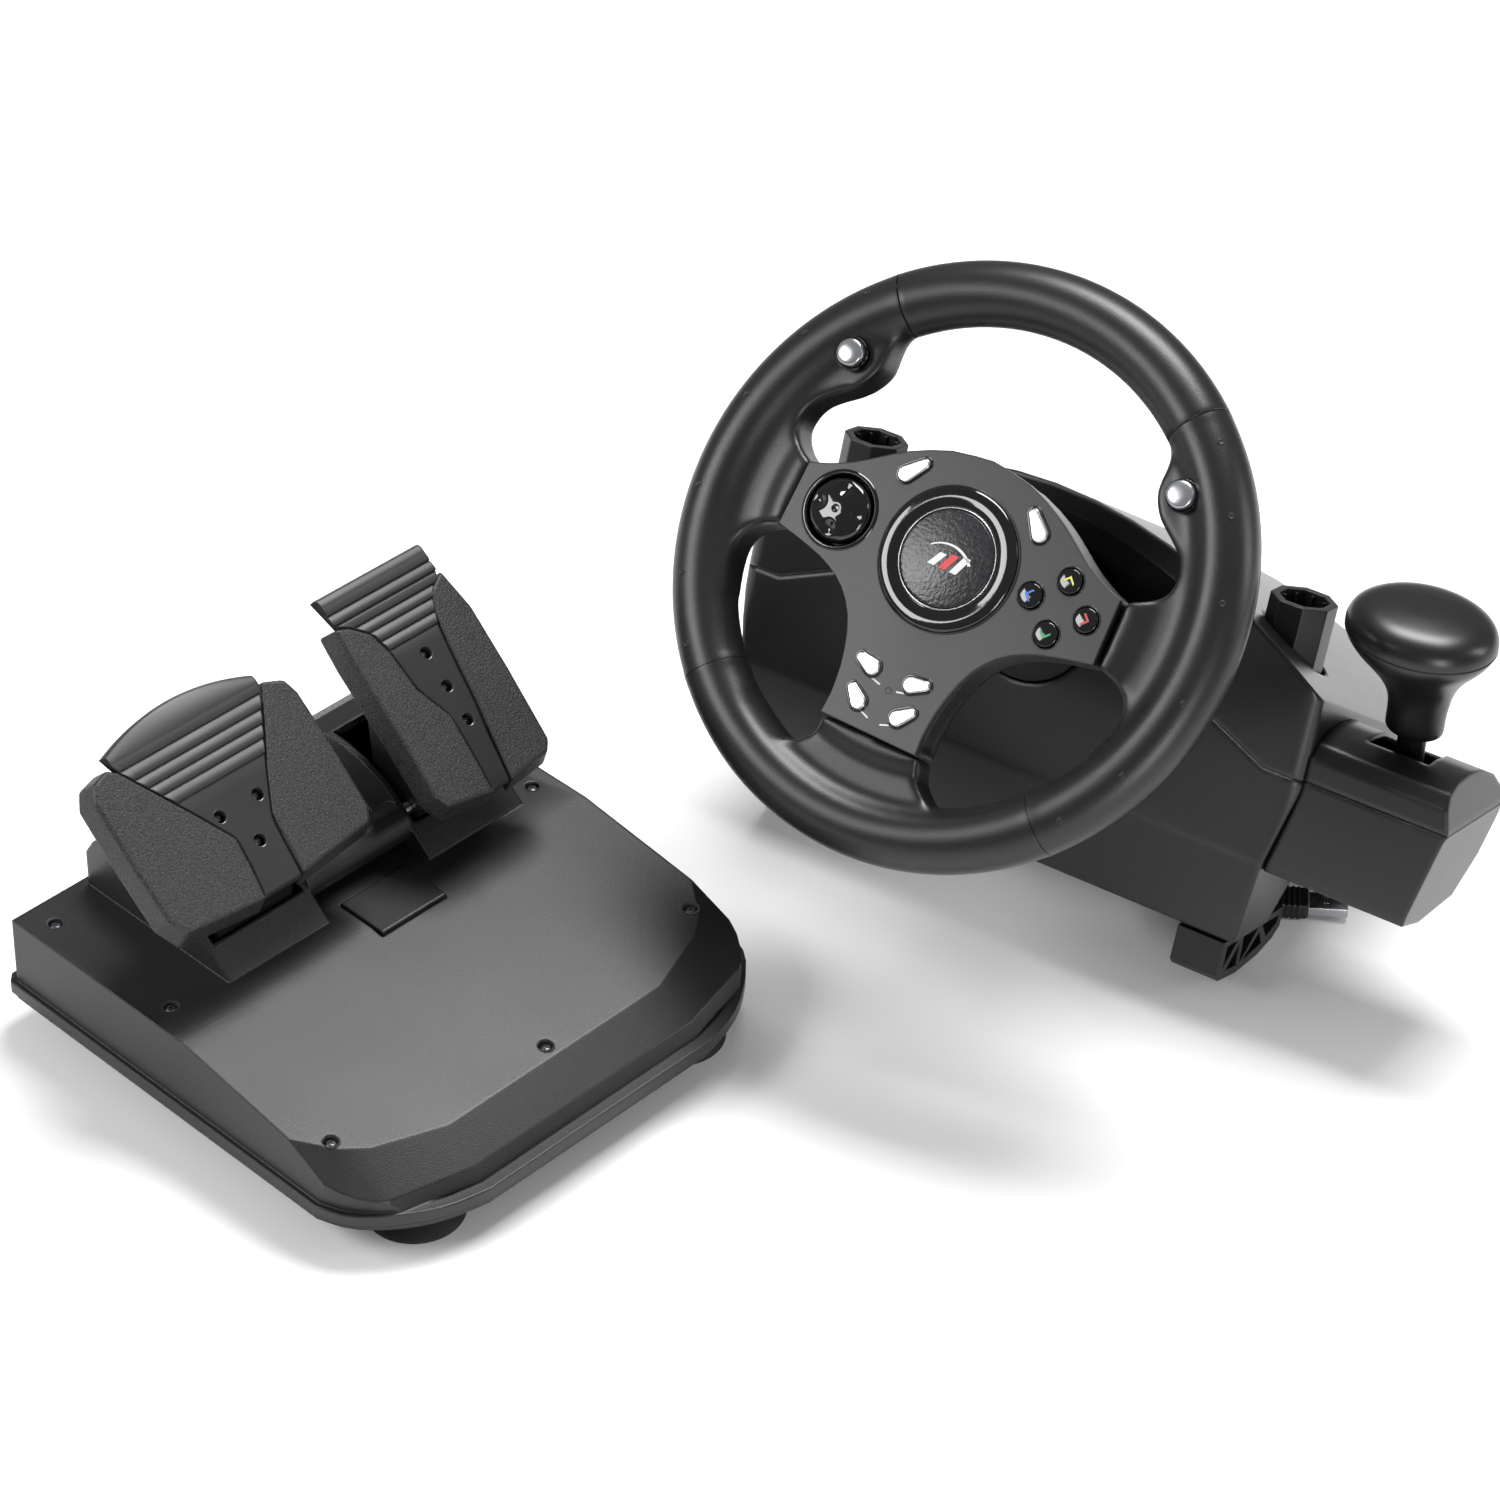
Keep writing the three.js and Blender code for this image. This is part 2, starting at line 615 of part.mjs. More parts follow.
const RUN = [[61.5, 241.3, 2.2], [49, 232.5, 2.2], [36.7, 223.7, 2.2], [31.6, 217.8, 2.2],
  [28.2, 211, 2.2], [26.4, 203, 2.2], [26, 190, 2.2], [34, 170, 2.2], [46, 150, 2.2],
  [58, 128, 2.2], [69, 108, 2.2], [79, 96, 2.4], [91, 96, 3], [98.5, 100.8, 3.8]];

function usbPlug() {
  const grip = [[6, -5], [8, -7.4], [24, -7.4], [26, -6.2], [26, 6.2], [24, 7.4], [8, 7.4], [6, 5]];
  const sleeve = bar(0, 0, -8, 7, 2.7, 12, 4).rotate([0, 90, 0]);
  const body = prism(grip, -4.2, 4.2).add(sleeve);
  const tongue = box(25, 44, -6, 6, -2.3, 2.3).subtract(box(30, 50, -5.5, 5.5, 0, 1.8));
  return body.add(tongue).rotate([0, 0, PLUG.angle]).translate([PLUG.x, PLUG.y, PLUG.z]);
}

// ---- pedal unit ----------------------------------------------------------------------------
function pedalPlan(inset) {
  const w = PB.half - inset;
  const f = inset;
  const corner = smooth([[64, f], [84, f + 5], [101, f + 14.5], [w - 6, f + 29], [w, f + 44]], 10);
  const right = [...corner, [w, PB.depth - inset - 4], [w - 4, PB.depth - inset]];
  return [...right, ...mirrored(right)];
}

function pedalForm(inset) {
  const side = [[3 + inset, PB.flange0 - inset], [7 + inset, PB.flange1], [10 + inset, 30],
    [28 + inset, 40.5 - inset], [PB.knee, PB.top - inset], [PB.depth - 3 - inset, PB.top - inset],
    [PB.depth - inset, PB.flange0 - inset]];
  const w = PB.half - 2.5 - inset;
  const across = [[w, 10], [w, PB.flange1], [w - 3, 60]];
  let form = alongX(side, -130, 130)
    .intersect(alongY([...across, ...mirrored(across)], -10, 260))
    .intersect(prism(pedalPlan(inset + 2), 0, 70));
  for (const angle of [-42, -28, -14, 14, 28, 42]) form = form.intersect(bandAt(angle, inset));
  return form;
}

// The sloping band along the front edge, carried round the corners, where it gets narrower.
function bandAt(angle, inset) {
  const a = THREE.MathUtils.degToRad(angle);
  const reach = Math.max(...pedalPlan(0).map(([x, y]) => x * Math.sin(a) - y * Math.cos(a)));
  const from = inset - reach - 0.4 * (Math.abs(angle) - 14);
  const section = [[from, 0], [from + 7, PB.flange1], [from + 10, 30], [from + 104, 85], [600, 85],
    [600, 0]];
  return alongX(section, -500, 500).rotate([0, 0, angle]);
}

const BLOCK_SIDE = [[147, 50], [147, PB.top + 0.5], [158, 65.8], [168, 75], [178, 82.5], [190, 87],
  [202, 89.5], [214, 90], [226, 88], [235, 82.5], [240.5, 74], [241, 50]];

function slotOf([x0, x1]) {
  return box(x0 + 3, x1 - 3, 160, 212, 10, 120);
}

function pedalBaseTop() {
  let made = pedalForm(0).subtract(pedalForm(WALL));
  made = made.add(prism(pedalPlan(0), PB.flange0, PB.flange1).subtract(prism(pedalPlan(6), 0, 60)));
  const inner = BLOCK_SIDE.map(([y, z]) => [194 + (y - 194) * 0.93, 50 + (z - 50) * 0.92 - 1]);
  for (const x of Object.values(BLOCK)) {
    const walls = alongX(BLOCK_SIDE, ...x).subtract(alongX(inner, x[0] + 3, x[1] - 3));
    const hollow = alongX(inner, x[0] + 3, x[1] - 3).intersect(box(-200, 200, 100, 260, 30, 70));
    made = made.subtract(hollow);
    made = made.add(walls.subtract(pedalForm(WALL))).subtract(slotOf(x));
  }
  const middle = [[172, 52], [172, PB.top + 0.5], [184, 62], [206, 68], [228, 68], [240, 64],
    [240, 52]];
  const [left, right] = [BLOCK.brake[1] - 0.5, BLOCK.throttle[0] + 0.5];
  made = made.add(alongX(middle, left, right).subtract(box(left + 3, right - 3, 176, 236, 0, 59)));
  const cover = barX(left, right, HINGE.y, HINGE.z - 4, 9.5, 24); // over the shaft between the blocks
  made = made.add(cover.intersect(box(left, right, 150, 180, 53, 90)));
  const [first, last] = [BLOCK.brake[0] + 1, BLOCK.throttle[1] - 1];
  made = made.subtract(barX(first, last, HINGE.y, HINGE.z, 3.3, 16));
  return made.subtract(box(HATCH.x0, HATCH.x1, HATCH.y0, HATCH.y1, PB.top - 1.4, 60));
}

// A low raised panel screwed over the cable's junction.
function hatch() {
  const { x0, x1, y0, y1 } = HATCH;
  return box(x0 + GAP, x1 - GAP, y0 + GAP, y1 - GAP, PB.top - 1.4 + GAP, PB.top + 1.2);
}

function pedalBaseBottom() {
  let made = prism(pedalPlan(1.5), 14.6, PB.flange0 - GAP);
  for (const x of [-CUP.x, CUP.x]) {
    for (const y of [CUP.y, PB.depth - CUP.y]) made = made.subtract(bar(x, y, 0, 30, 4.4, 12));
  }
  return made;
}

function suctionCup(x, y) {
  const profile = [[0, 0], [CUP.radius, 0], [CUP.radius - 1, 1.6], [14, 6.5], [8.5, 9], [8.5, 14.2],
    [4, 14.2], [4, 22], [0, 22]];
  return at(lathe(profile, 18).subtract(lathe([[0, -1], [17, -1], [0, 4]], 18)), x, y);
}

// Foot plates seen from the side: [y, z] of the lower and upper edges of the face.
const BRAKE = { x: BRAKE_X, half: 54, low: [146.5, 100], high: [202.8, 149.3] };
const THROTTLE = { x: THROTTLE_X, half: 33, low: [134.5, 96.5], high: [200, 155.2] };
const FACE_SLOPE = 41.3; // degrees

// A pedal's own plane: x right, y up the face, z out of the face.
function placePedal(made, { x, low }) {
  return made.rotate([FACE_SLOPE, 0, 0]).translate([x, low[0], low[1]]);
}
const faceLength = ({ low, high }) => Math.hypot(high[0] - low[0], high[1] - low[1]);

function footPlate(pedal, outline, insertHalf) {
  const length = faceLength(pedal);
  let plate = prism(outline, -8, 0);
  plate = plate.subtract(box(-insertHalf, insertHalf, -20, length + 40, -4.2, 5));
  const hollow = outline.map(([x, y]) => [x * 0.92, length / 2 + (y - length / 2) * 0.92]);
  plate = plate.subtract(prism(hollow, -12, -5.6));
  const made = placePedal(plate, pedal);
  return made.add(pedalArm(pedal));
}

// The arm from the back of the foot plate down to the pivot, with the spring's seat behind it.
function pedalArm(pedal) {
  const [y0, z0] = pedal.low;
  const slope = THREE.MathUtils.degToRad(FACE_SLOPE);
  const [up, out] = [Math.sin(slope), Math.cos(slope)];
  const under = (along, below) => [y0 + out * along + up * below, z0 + up * along - out * below];
  const length = faceLength(pedal);
  const outline = [under(6, 4.6), under(length - 8, 4.6), under(length - 10, 12),
    under(length * 0.55, 34), [190, 70], [199, 66], [199, 60], [176, 60], [168, 62], [162, 65],
    [160.6, 71]];
  const half = 21;
  const inner = outline.map(([y, z]) => [178 + (y - 178) * 0.8, 88 + (z - 88) * 0.8 + 3]);
  const arm = alongX(outline, -half, half).subtract(alongX(inner, -half + 3, half - 3));
  const hole = barX(-40, 40, HINGE.y, HINGE.z, 3.4, 16);
  const boss = barX(-half, half, HINGE.y, HINGE.z, 7.2, 16).subtract(hole);
  return at(arm.subtract(hole).add(boss), pedal.x, 0);
}

function brakePlate() {
  const length = faceLength(BRAKE);
  const crown = [[-44, length - 1], [-20, length + 5], [0, length + 6.5], [20, length + 5],
    [44, length - 1]];
  const half = BRAKE.half;
  const outline = [[-40, -2], [-47, -0.5], [-half, 9], [-half, length - 11], [-49, length - 3],
    ...smooth(crown, 8), [49, length - 3], [half, length - 11], [half, 9], [47, -0.5], [40, -2],
    [0, -6]];
  return footPlate(BRAKE, outline, 17);
}

function throttlePlate() {
  const length = faceLength(THROTTLE);
  const outline = [[-26, -3], [-THROTTLE.half, 5], [-THROTTLE.half, length - 4], [-28, length + 13],
    [28, length + 13], [THROTTLE.half, length - 4], [THROTTLE.half, 5], [26, -3], [0, -7]];
  return footPlate(THROTTLE, outline, 13);
}

// The smooth spine with three screw holes and a ribbed head.
function spine(pedal, half, from, to, ribs) {
  let made = box(-half + GAP, half - GAP, from, to, -4.2 + GAP, 0.8);
  for (let i = 0; i < ribs; i++) {
    made = made.add(box(-half + GAP, half - GAP, to - 2.2 - 5 * i, to - 5 * i, 0, 2));
  }
  for (const along of [0.3, 0.45, 0.6]) {
    made = made.subtract(at(bar(0, 0, -1.5, 10, 3.4, 14), 0, from + (to - from) * along));
  }
  return placePedal(made, pedal);
}

function pedalSpring(x) {
  return at(ring(5, 8, PB.flange0 + 1, 59.4, 16), x, 190);
}

// ---- assembly ------------------------------------------------------------------------------
const whole = new THREE.Group();

const leaning = new THREE.Group();
leaning.position.set(0, 0, FLOOR_DROP);
leaning.rotation.x = -lean;
whole.add(leaning);

const column = new THREE.Group();
column.position.set(0, 0, HUB_HEIGHT);
column.rotation.x = THREE.MathUtils.degToRad(90 - WHEEL_TILT);
whole.add(column);

const wheel = new THREE.Group();
wheel.rotation.z = THREE.MathUtils.degToRad(STEER_REST);
column.add(wheel);

const pedals = new THREE.Group();
pedals.position.set(PEDAL_AT[0], PEDAL_AT[1], 0);
pedals.rotation.z = THREE.MathUtils.degToRad(PEDAL_YAW);
pedals.scale.setScalar(PEDAL_SCALE);
whole.add(pedals);

piece(wheel, "rim_top_grip", rimRing().intersect(sector(TOP_JOINT, 180 - TOP_JOINT)), GRIP);
piece(wheel, "rim_right_grip", gripRight(), GRIP);
piece(wheel, "rim_left_grip", gripRight().mirror([1, 0, 0]), GRIP);
piece(wheel, "rim_bottom_grip", rimBottom(), GRIP);
piece(wheel, "hub_front_plate", hubPlate(), SATIN);
piece(wheel, "hub_rear_shell", hubRear(), SHELL);
piece(wheel, "hub_ring", hubRing(), GLOSS);
piece(wheel, "hub_badge", hubBadge(), SATIN);
piece(wheel, "hub_board", hubBoard(), BOARD);
piece(wheel, "steering_shaft", steeringShaft(), STEEL);
piece(wheel, "dpad", dpadDome(), GLOSS);
piece(wheel, "dpad_pivot", at(bar(0, 0, 4, 8.8, 5, 16), ...DPAD), DARK);
for (const [name, [dx, dy]] of Object.entries(FACE_BUTTONS)) {
  piece(wheel, name, faceButton(dx, dy), GLOSS);
}
for (const [name, button] of Object.entries(SMALL_BUTTONS)) {
  piece(wheel, name, smallButton(button, 0, 8, FACE + 1.4), SILVER);
}
piece(wheel, "button_left_thumb", thumbButton(-THUMB[0]), SILVER);
piece(wheel, "button_right_thumb", thumbButton(THUMB[0]), SILVER);

piece(column, "column_bearing", columnBearing(), DARK);
piece(column, "sensor_pinion", sensorPinion(), DARK);

piece(leaning, "base_upper_shell", upperShell(), SHELL);
piece(leaning, "base_lower_shell", lowerShell(), SHELL);
piece(leaning, "shifter_upper_shell", gearBoxTop(), SHELL);
piece(leaning, "shifter_lower_shell", gearBoxBottom(), SHELL);
piece(leaning, "gear_lever", gearLever(), DARK);
piece(leaning, "gear_knob", gearKnob(), SATIN);
piece(leaning, "main_board", mainBoard(), BOARD);
for (const [side, x] of [["left", -CLAMP_X], ["right", CLAMP_X]]) {
  piece(leaning, `clamp_screw_${side}`, clampScrew(x), DARK);
  piece(leaning, `clamp_jaw_${side}`, clampJaw(x), DARK);
  piece(leaning, `rumble_motor_${side}`, rumbleMotor(x * 0.6), STEEL);
  piece(leaning, `rumble_weight_${side}`, rumbleWeight(x * 0.6), STEEL);
}
piece(leaning, "rear_foot", rearFoot(), RUBBER);
piece(leaning, "cable_relief", strainRelief(), RUBBER);
piece(whole, "cable_coil", cableCoil(), RUBBER);
piece(whole, "cable_run", tube(RUN, CABLE, 8, 44), RUBBER);
piece(whole, "cable_plug", usbPlug(), DARK);

piece(pedals, "pedal_base_top", pedalBaseTop(), SHELL);
piece(pedals, "pedal_base_bottom", pedalBaseBottom(), SHELL);
piece(pedals, "pedal_hatch", hatch(), SHELL);
piece(pedals, "pedal_shaft", barX(-77, 93, HINGE.y, HINGE.z, 3, 14), STEEL);
piece(pedals, "brake_pedal", brakePlate(), DARK);
piece(pedals, "brake_spine", spine(BRAKE, 17, -5, faceLength(BRAKE) + 5, 5), SATIN);
piece(pedals, "brake_spring", pedalSpring(BRAKE_X), STEEL);
piece(pedals, "throttle_pedal", throttlePlate(), DARK);
piece(pedals, "throttle_spine", spine(THROTTLE, 13, -6, faceLength(THROTTLE) + 12, 6), SATIN);
piece(pedals, "throttle_spring", pedalSpring(THROTTLE_X), STEEL);
for (const [row, y] of [["front", CUP.y], ["rear", PB.depth - CUP.y]]) {
  piece(pedals, `suction_cup_${row}_left`, suctionCup(-CUP.x, y), RUBBER);
  piece(pedals, `suction_cup_${row}_right`, suctionCup(CUP.x, y), RUBBER);
}

// The origin is the middle of the footprint, leaving out the free cable and what is on it.
const footprint = new THREE.Box3();
whole.updateMatrixWorld(true);
whole.traverse((o) => {
  if (o.isMesh && !o.name.startsWith("cable_")) footprint.expandByObject(o, true);
});
const middle = footprint.getCenter(new THREE.Vector3());
whole.position.set(-middle.x, -middle.y, -footprint.min.z);

export default whole;
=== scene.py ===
import json
import math

import bmesh
import bpy
from mathutils import Matrix, Vector

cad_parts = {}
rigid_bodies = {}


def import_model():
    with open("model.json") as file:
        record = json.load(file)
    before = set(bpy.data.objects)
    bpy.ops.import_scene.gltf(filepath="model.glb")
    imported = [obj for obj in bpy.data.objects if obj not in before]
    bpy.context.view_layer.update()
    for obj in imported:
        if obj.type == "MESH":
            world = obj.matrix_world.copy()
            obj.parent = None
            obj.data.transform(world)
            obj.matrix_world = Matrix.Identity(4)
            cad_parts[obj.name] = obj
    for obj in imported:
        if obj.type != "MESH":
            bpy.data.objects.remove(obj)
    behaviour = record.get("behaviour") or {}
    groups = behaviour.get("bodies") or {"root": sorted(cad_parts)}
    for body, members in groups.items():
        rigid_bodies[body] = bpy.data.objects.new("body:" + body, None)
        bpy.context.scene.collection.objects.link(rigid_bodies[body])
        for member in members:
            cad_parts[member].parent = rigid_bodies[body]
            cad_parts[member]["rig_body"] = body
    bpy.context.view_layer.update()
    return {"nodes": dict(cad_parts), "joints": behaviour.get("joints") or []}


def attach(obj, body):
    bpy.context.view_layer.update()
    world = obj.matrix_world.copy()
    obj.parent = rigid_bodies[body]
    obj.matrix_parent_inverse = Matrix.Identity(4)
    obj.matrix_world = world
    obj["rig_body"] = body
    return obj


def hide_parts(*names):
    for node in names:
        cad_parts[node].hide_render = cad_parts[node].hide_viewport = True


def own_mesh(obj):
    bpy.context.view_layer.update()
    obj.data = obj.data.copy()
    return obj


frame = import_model()


# ---- frames: each takes millimetres in a unit's own axes to metres in the shared frame ----------
FLOOR_DROP = 29  # height of the leaning housing's origin above the floor
LEAN = 18.5  # degrees that the housing leans back
COLUMN_TILT = 47.5  # degrees between the steering column and the vertical
OFF_CENTRE = 2.8  # degrees that the wheel stands turned
PEDALS_AT = (-48.6, -202.8)
PEDALS_YAW = 79.26
PEDALS_SCALE = 1.022  # the pedal unit is drawn this much under size
LEVER_AT = (176.5, 72, 92)
LEVER_LEAN = 14


def shift(x=0.0, y=0.0, z=0.0):
    return Matrix.Translation((x, y, z))


def turn(degrees, axis):
    return Matrix.Rotation(math.radians(degrees), 4, axis)


RIM_CENTRE = Vector(next(j["pos_m"] for j in frame["joints"] if j["name"] == "steering_turn"))
WHOLE = Matrix.Translation((RIM_CENTRE.x, RIM_CENTRE.y, 0)) @ Matrix.Scale(0.001, 4)
LEANING = WHOLE @ shift(z=FLOOR_DROP) @ turn(-LEAN, "X")
COLUMN = WHOLE @ shift(z=1000 * RIM_CENTRE.z) @ turn(COLUMN_TILT, "X")
WHEEL = COLUMN @ turn(-OFF_CENTRE, "Z")
PEDALS = WHOLE @ shift(*PEDALS_AT) @ turn(PEDALS_YAW, "Z") @ Matrix.Scale(PEDALS_SCALE, 4)
LEVER = LEANING @ shift(*LEVER_AT) @ turn(LEVER_LEAN, "X")


# ---- camera -----------------------------------------------------------------------------------
def place_camera():
    data = bpy.data.cameras.new("camera")
    data.sensor_width = 36
    data.lens = 108.87
    data.clip_end = 20
    camera = bpy.data.objects.new("camera", data)
    right = Vector((0.83509, 0.54995, 0.01307))
    up = Vector((-0.34792, 0.50960, 0.78693))
    back = Vector((0.42611, -0.66171, 0.61690))
    camera.matrix_world = Matrix((right, up, back)).transposed().to_4x4()
    camera.location = WHOLE @ Vector((787.27, -1387.30, 1361.47))
    bpy.context.scene.collection.objects.link(camera)
    bpy.context.scene.camera = camera


place_camera()


# ---- the cable ----------------------------------------------------------------------------------
CABLE = 2.0  # the cable's radius
COIL = (63.5, 282.0)
TURN_RADIUS = {"core": 14.8, "inner": 19.2, "middle": 23.6, "outer": 28.0, "rim": 32.4}
LAYER = (2.2, 6.4, 10.6)
# Each change of column or layer along the winding: from and to in degrees of travel, then where to.
CHANGES = [
    (270, 330, "inner", 2), (630, 690, "core", 2), (890, 985, "core", 1), (1250, 1345, "core", 0),
    (1545, 1610, "inner", 0), (1815, 1905, "inner", 1), (2110, 2175, "middle", 1),
    (2385, 2470, "middle", 0), (2685, 2745, "outer", 0), (2965, 3045, "outer", 1),
    (3260, 3325, "rim", 1), (3540, 3615, "rim", 0),
]
WOUND = 3835  # degrees of travel
LEAD_IN = [(40, 250.1, 10.7), (40, 252.5, 10.15), (40, 256, 10.0), (40, 260, 10.35),
           (40, 265, 10.5), (40, 271, 10.6), (39.9, 277, 10.6)]
RUN = [(36.7, 223.7, 2.2), (31.6, 217.8, 2.2), (28.2, 211, 2.2), (26.4, 203, 2.2), (26, 190, 2.2),
       (34, 170, 2.2), (46, 150, 2.2), (58, 128, 2.2), (69, 108, 2.2), (79, 96, 2.4),
       (91, 96, 3), (98.5, 100.8, 3.8)]


def eased(t):
    t = min(max(t, 0.0), 1.0)
    return t * t * (3 - 2 * t)


def winding(travel):
    """Where the cable is after so many degrees round the coil, from its west side, clockwise."""
    radius, z = TURN_RADIUS["middle"], LAYER[2]
    for start, end, column, layer in CHANGES:
        t = eased((travel - start) / (end - start))
        radius += (TURN_RADIUS[column] - radius) * t
        z += (LAYER[layer] - z) * t
    angle = math.radians(180 - travel)
    return (COIL[0] + radius * math.cos(angle), COIL[1] + radius * math.sin(angle), z)


def flowing(points, per):
    """A Catmull-Rom line through the points."""
    p = [Vector(q) for q in points]
    p = [2 * p[0] - p[1], *p, 2 * p[-1] - p[-2]]
    out = []
    for a, b, c, d in zip(p, p[1:], p[2:], p[3:]):
        for i in range(per):
            t = i / per
            out.append(0.5 * (2 * b + (c - a) * t + (2 * a - 5 * b + 4 * c - d) * t * t
                              + (3 * b - 3 * c + d - a) * t ** 3))
    return out + [p[-2]]


def cable_line():
    wound = [Vector(winding(a)) for a in range(15, WOUND + 1, 5)]
    lead = flowing(LEAD_IN, 4)[:-4]
    leaving = wound[-1]
    straight = [leaving + (Vector(RUN[0]) - leaving) * t for t in (0.25, 0.5, 0.75)]
    line = [*lead, *wound, *flowing([*straight, *RUN], 5)]
    return [WHOLE @ q for q in line]


def cable_curve(line):
    data = bpy.data.curves.new("usb_cable", "CURVE")
    data.dimensions = "3D"
    data.bevel_depth = CABLE / 1000
    data.bevel_resolution = 3
    spline = data.splines.new("POLY")
    spline.points.add(len(line) - 1)
    for point, q in zip(spline.points, line):
        point.co = (*q, 1)
    spline.use_smooth = True
    obj = bpy.data.objects.new("usb_cable", data)
    bpy.context.scene.collection.objects.link(obj)
    return obj


CABLE_LINE = cable_line()
cable = cable_curve(CABLE_LINE)


# ---- floor and lights ---------------------------------------------------------------------------
def area_light(name, position, aim, size, watts):
    data = bpy.data.lights.new(name, "AREA")
    data.shape = "RECTANGLE"
    data.size, data.size_y = size
    data.energy = watts
    lamp = bpy.data.objects.new(name, data)
    lamp.location = position
    lamp.rotation_euler = (Vector(aim) - Vector(position)).to_track_quat("-Z", "Y").to_euler()
    bpy.context.scene.collection.objects.link(lamp)


def studio():
    world = bpy.data.worlds.new("studio")
    world.use_nodes = True
    back = world.node_tree.nodes["Background"]
    back.inputs["Color"].default_value = (1, 1, 1, 1)
    back.inputs["Strength"].default_value = 0.26
    bpy.context.scene.world = world
    area_light("top", (-0.1, 0.75, 2.0), (0, 0.05, 0), (1.2, 0.7), 52)
    area_light("left", (-1.25, -1.35, 1.35), (0, 0, 0.15), (1.1, 0.8), 26)
    area_light("right", (1.7, 0.9, 0.9), (0.1, 0, 0.15), (0.4, 1.0), 9)
    area_light("low", (1.5, -1.25, 0.5), (0.1, 0, 0.12), (0.35, 0.8), 11)
    mesh = bpy.data.meshes.new("floor")
    mesh.from_pydata([(-8, -8, 0), (8, -8, 0), (8, 8, 0), (-8, 8, 0)], [], [(0, 1, 2, 3)])
    floor = bpy.data.objects.new("floor", mesh)
    bpy.context.scene.collection.objects.link(floor)
    pale = bpy.data.materials.new("pale_floor")
    pale.use_nodes = True
    shader = pale.node_tree.nodes["Principled BSDF"]
    shader.inputs["Base Color"].default_value = (0.93, 0.93, 0.93, 1)
    shader.inputs["Roughness"].default_value = 0.9
    mesh.materials.append(pale)
    bpy.context.scene.view_settings.view_transform = "Standard"


studio()


# ---- materials ----------------------------------------------------------------------------------
def noise(tree, scale, detail, stretch=(1, 1, 1)):
    place = tree.nodes.new("ShaderNodeTexCoord")
    mapping = tree.nodes.new("ShaderNodeMapping")
    mapping.inputs["Scale"].default_value = stretch
    made = tree.nodes.new("ShaderNodeTexNoise")
    made.inputs["Scale"].default_value = scale
    made.inputs["Detail"].default_value = detail
    tree.links.new(place.outputs["Object"], mapping.inputs["Vector"])
    tree.links.new(mapping.outputs["Vector"], made.inputs["Vector"])
    return made.outputs["Fac"]


def ranged(tree, value, low, high):
    made = tree.nodes.new("ShaderNodeMapRange")
    made.inputs["From Min"].default_value = 0.3
    made.inputs["From Max"].default_value = 0.7
    made.inputs["To Min"].default_value = low
    made.inputs["To Max"].default_value = high
    tree.links.new(value, made.inputs["Value"])
    return made.outputs["Result"]


def blended(tree, value, low, high):
    made = tree.nodes.new("ShaderNodeMix")
    made.data_type = "RGBA"
    made.inputs["A"].default_value = (*low, 1)
    made.inputs["B"].default_value = (*high, 1)
    tree.links.new(value, made.inputs["Factor"])
    return made.outputs["Result"]


def moulded(name, colour, rough, grain=0.5, bump=0.12, wander=0.05, tint=0.1, speck=0.0, edge=0.6,
            metal=0.0, coat=0.0, stretch=(1, 1, 1)):
    """A moulded surface. Grain and edge rounding are in mm. Wander spreads the roughness, tint
    spreads the colour, and speck flecks it."""
    made = bpy.data.materials.new(name)
    made.use_nodes = True
    tree = made.node_tree
    shader = tree.nodes["Principled BSDF"]
    shader.inputs["Metallic"].default_value = metal
    shader.inputs["Coat Weight"].default_value = coat
    shader.inputs["Coat Roughness"].default_value = 0.06
    fine = noise(tree, 1000 / grain, 2.0, stretch)
    broad = noise(tree, 22, 4.0)
    tree.links.new(ranged(tree, broad, rough - wander, rough + wander), shader.inputs["Roughness"])
    dark = [c * (1 - tint) for c in colour]
    light = [c * (1 + tint) for c in colour]
    shade = blended(tree, ranged(tree, broad, 0, 1), dark, light)
    if speck:
        mix = tree.nodes.new("ShaderNodeMix")
        mix.data_type = "RGBA"
        mix.blend_type = "MULTIPLY"
        mix.inputs["Factor"].default_value = 1
        flecks = blended(tree, ranged(tree, fine, 0, 1), (1 - speck,) * 3, (1 + 2 * speck,) * 3)
        tree.links.new(shade, mix.inputs["A"])
        tree.links.new(flecks, mix.inputs["B"])
        shade = mix.outputs["Result"]
    tree.links.new(shade, shader.inputs["Base Color"])
    lumps = tree.nodes.new("ShaderNodeBump")
    lumps.inputs["Strength"].default_value = bump
    lumps.inputs["Distance"].default_value = 0.3 * grain / 1000
    tree.links.new(fine, lumps.inputs["Height"])
    if edge:
        soft = tree.nodes.new("ShaderNodeBevel")
        soft.samples = 8
        soft.inputs["Radius"].default_value = edge / 1000
        tree.links.new(soft.outputs["Normal"], lumps.inputs["Normal"])
    tree.links.new(lumps.outputs["Normal"], shader.inputs["Normal"])
    return made


GRIP = moulded("grip_plastic", (0.0075, 0.0077, 0.0082), 0.36, 0.55, 0.42, 0.02, edge=0)
SHELL = moulded("shell_plastic", (0.0075, 0.0077, 0.0082), 0.31, 0.5, 0.14, 0.012, tint=0.05,
               edge=3.4)
BASE = moulded("pedal_base_plastic", (0.0095, 0.0096, 0.0100), 0.38, 0.6, 0.50, 0.02, tint=0.1,
               edge=1.6)
SATIN = moulded("hub_plastic", (0.0130, 0.0133, 0.0145), 0.36, 0.5, 0.16, 0.02, edge=1.0)
GLOSS = moulded("gloss_plastic", (0.0030, 0.0030, 0.0035), 0.07, 2.5, 0.02, 0.03, coat=0.5, edge=0.4)
PAD = moulded("grained_pad", (0.0135, 0.0138, 0.0150), 0.46, 0.9, 1.0, 0.03, speck=0.7, edge=1.2)
SPINE = moulded("spine_plastic", (0.0090, 0.0092, 0.0100), 0.42, 0.5, 0.10, 0.03, edge=0.8)
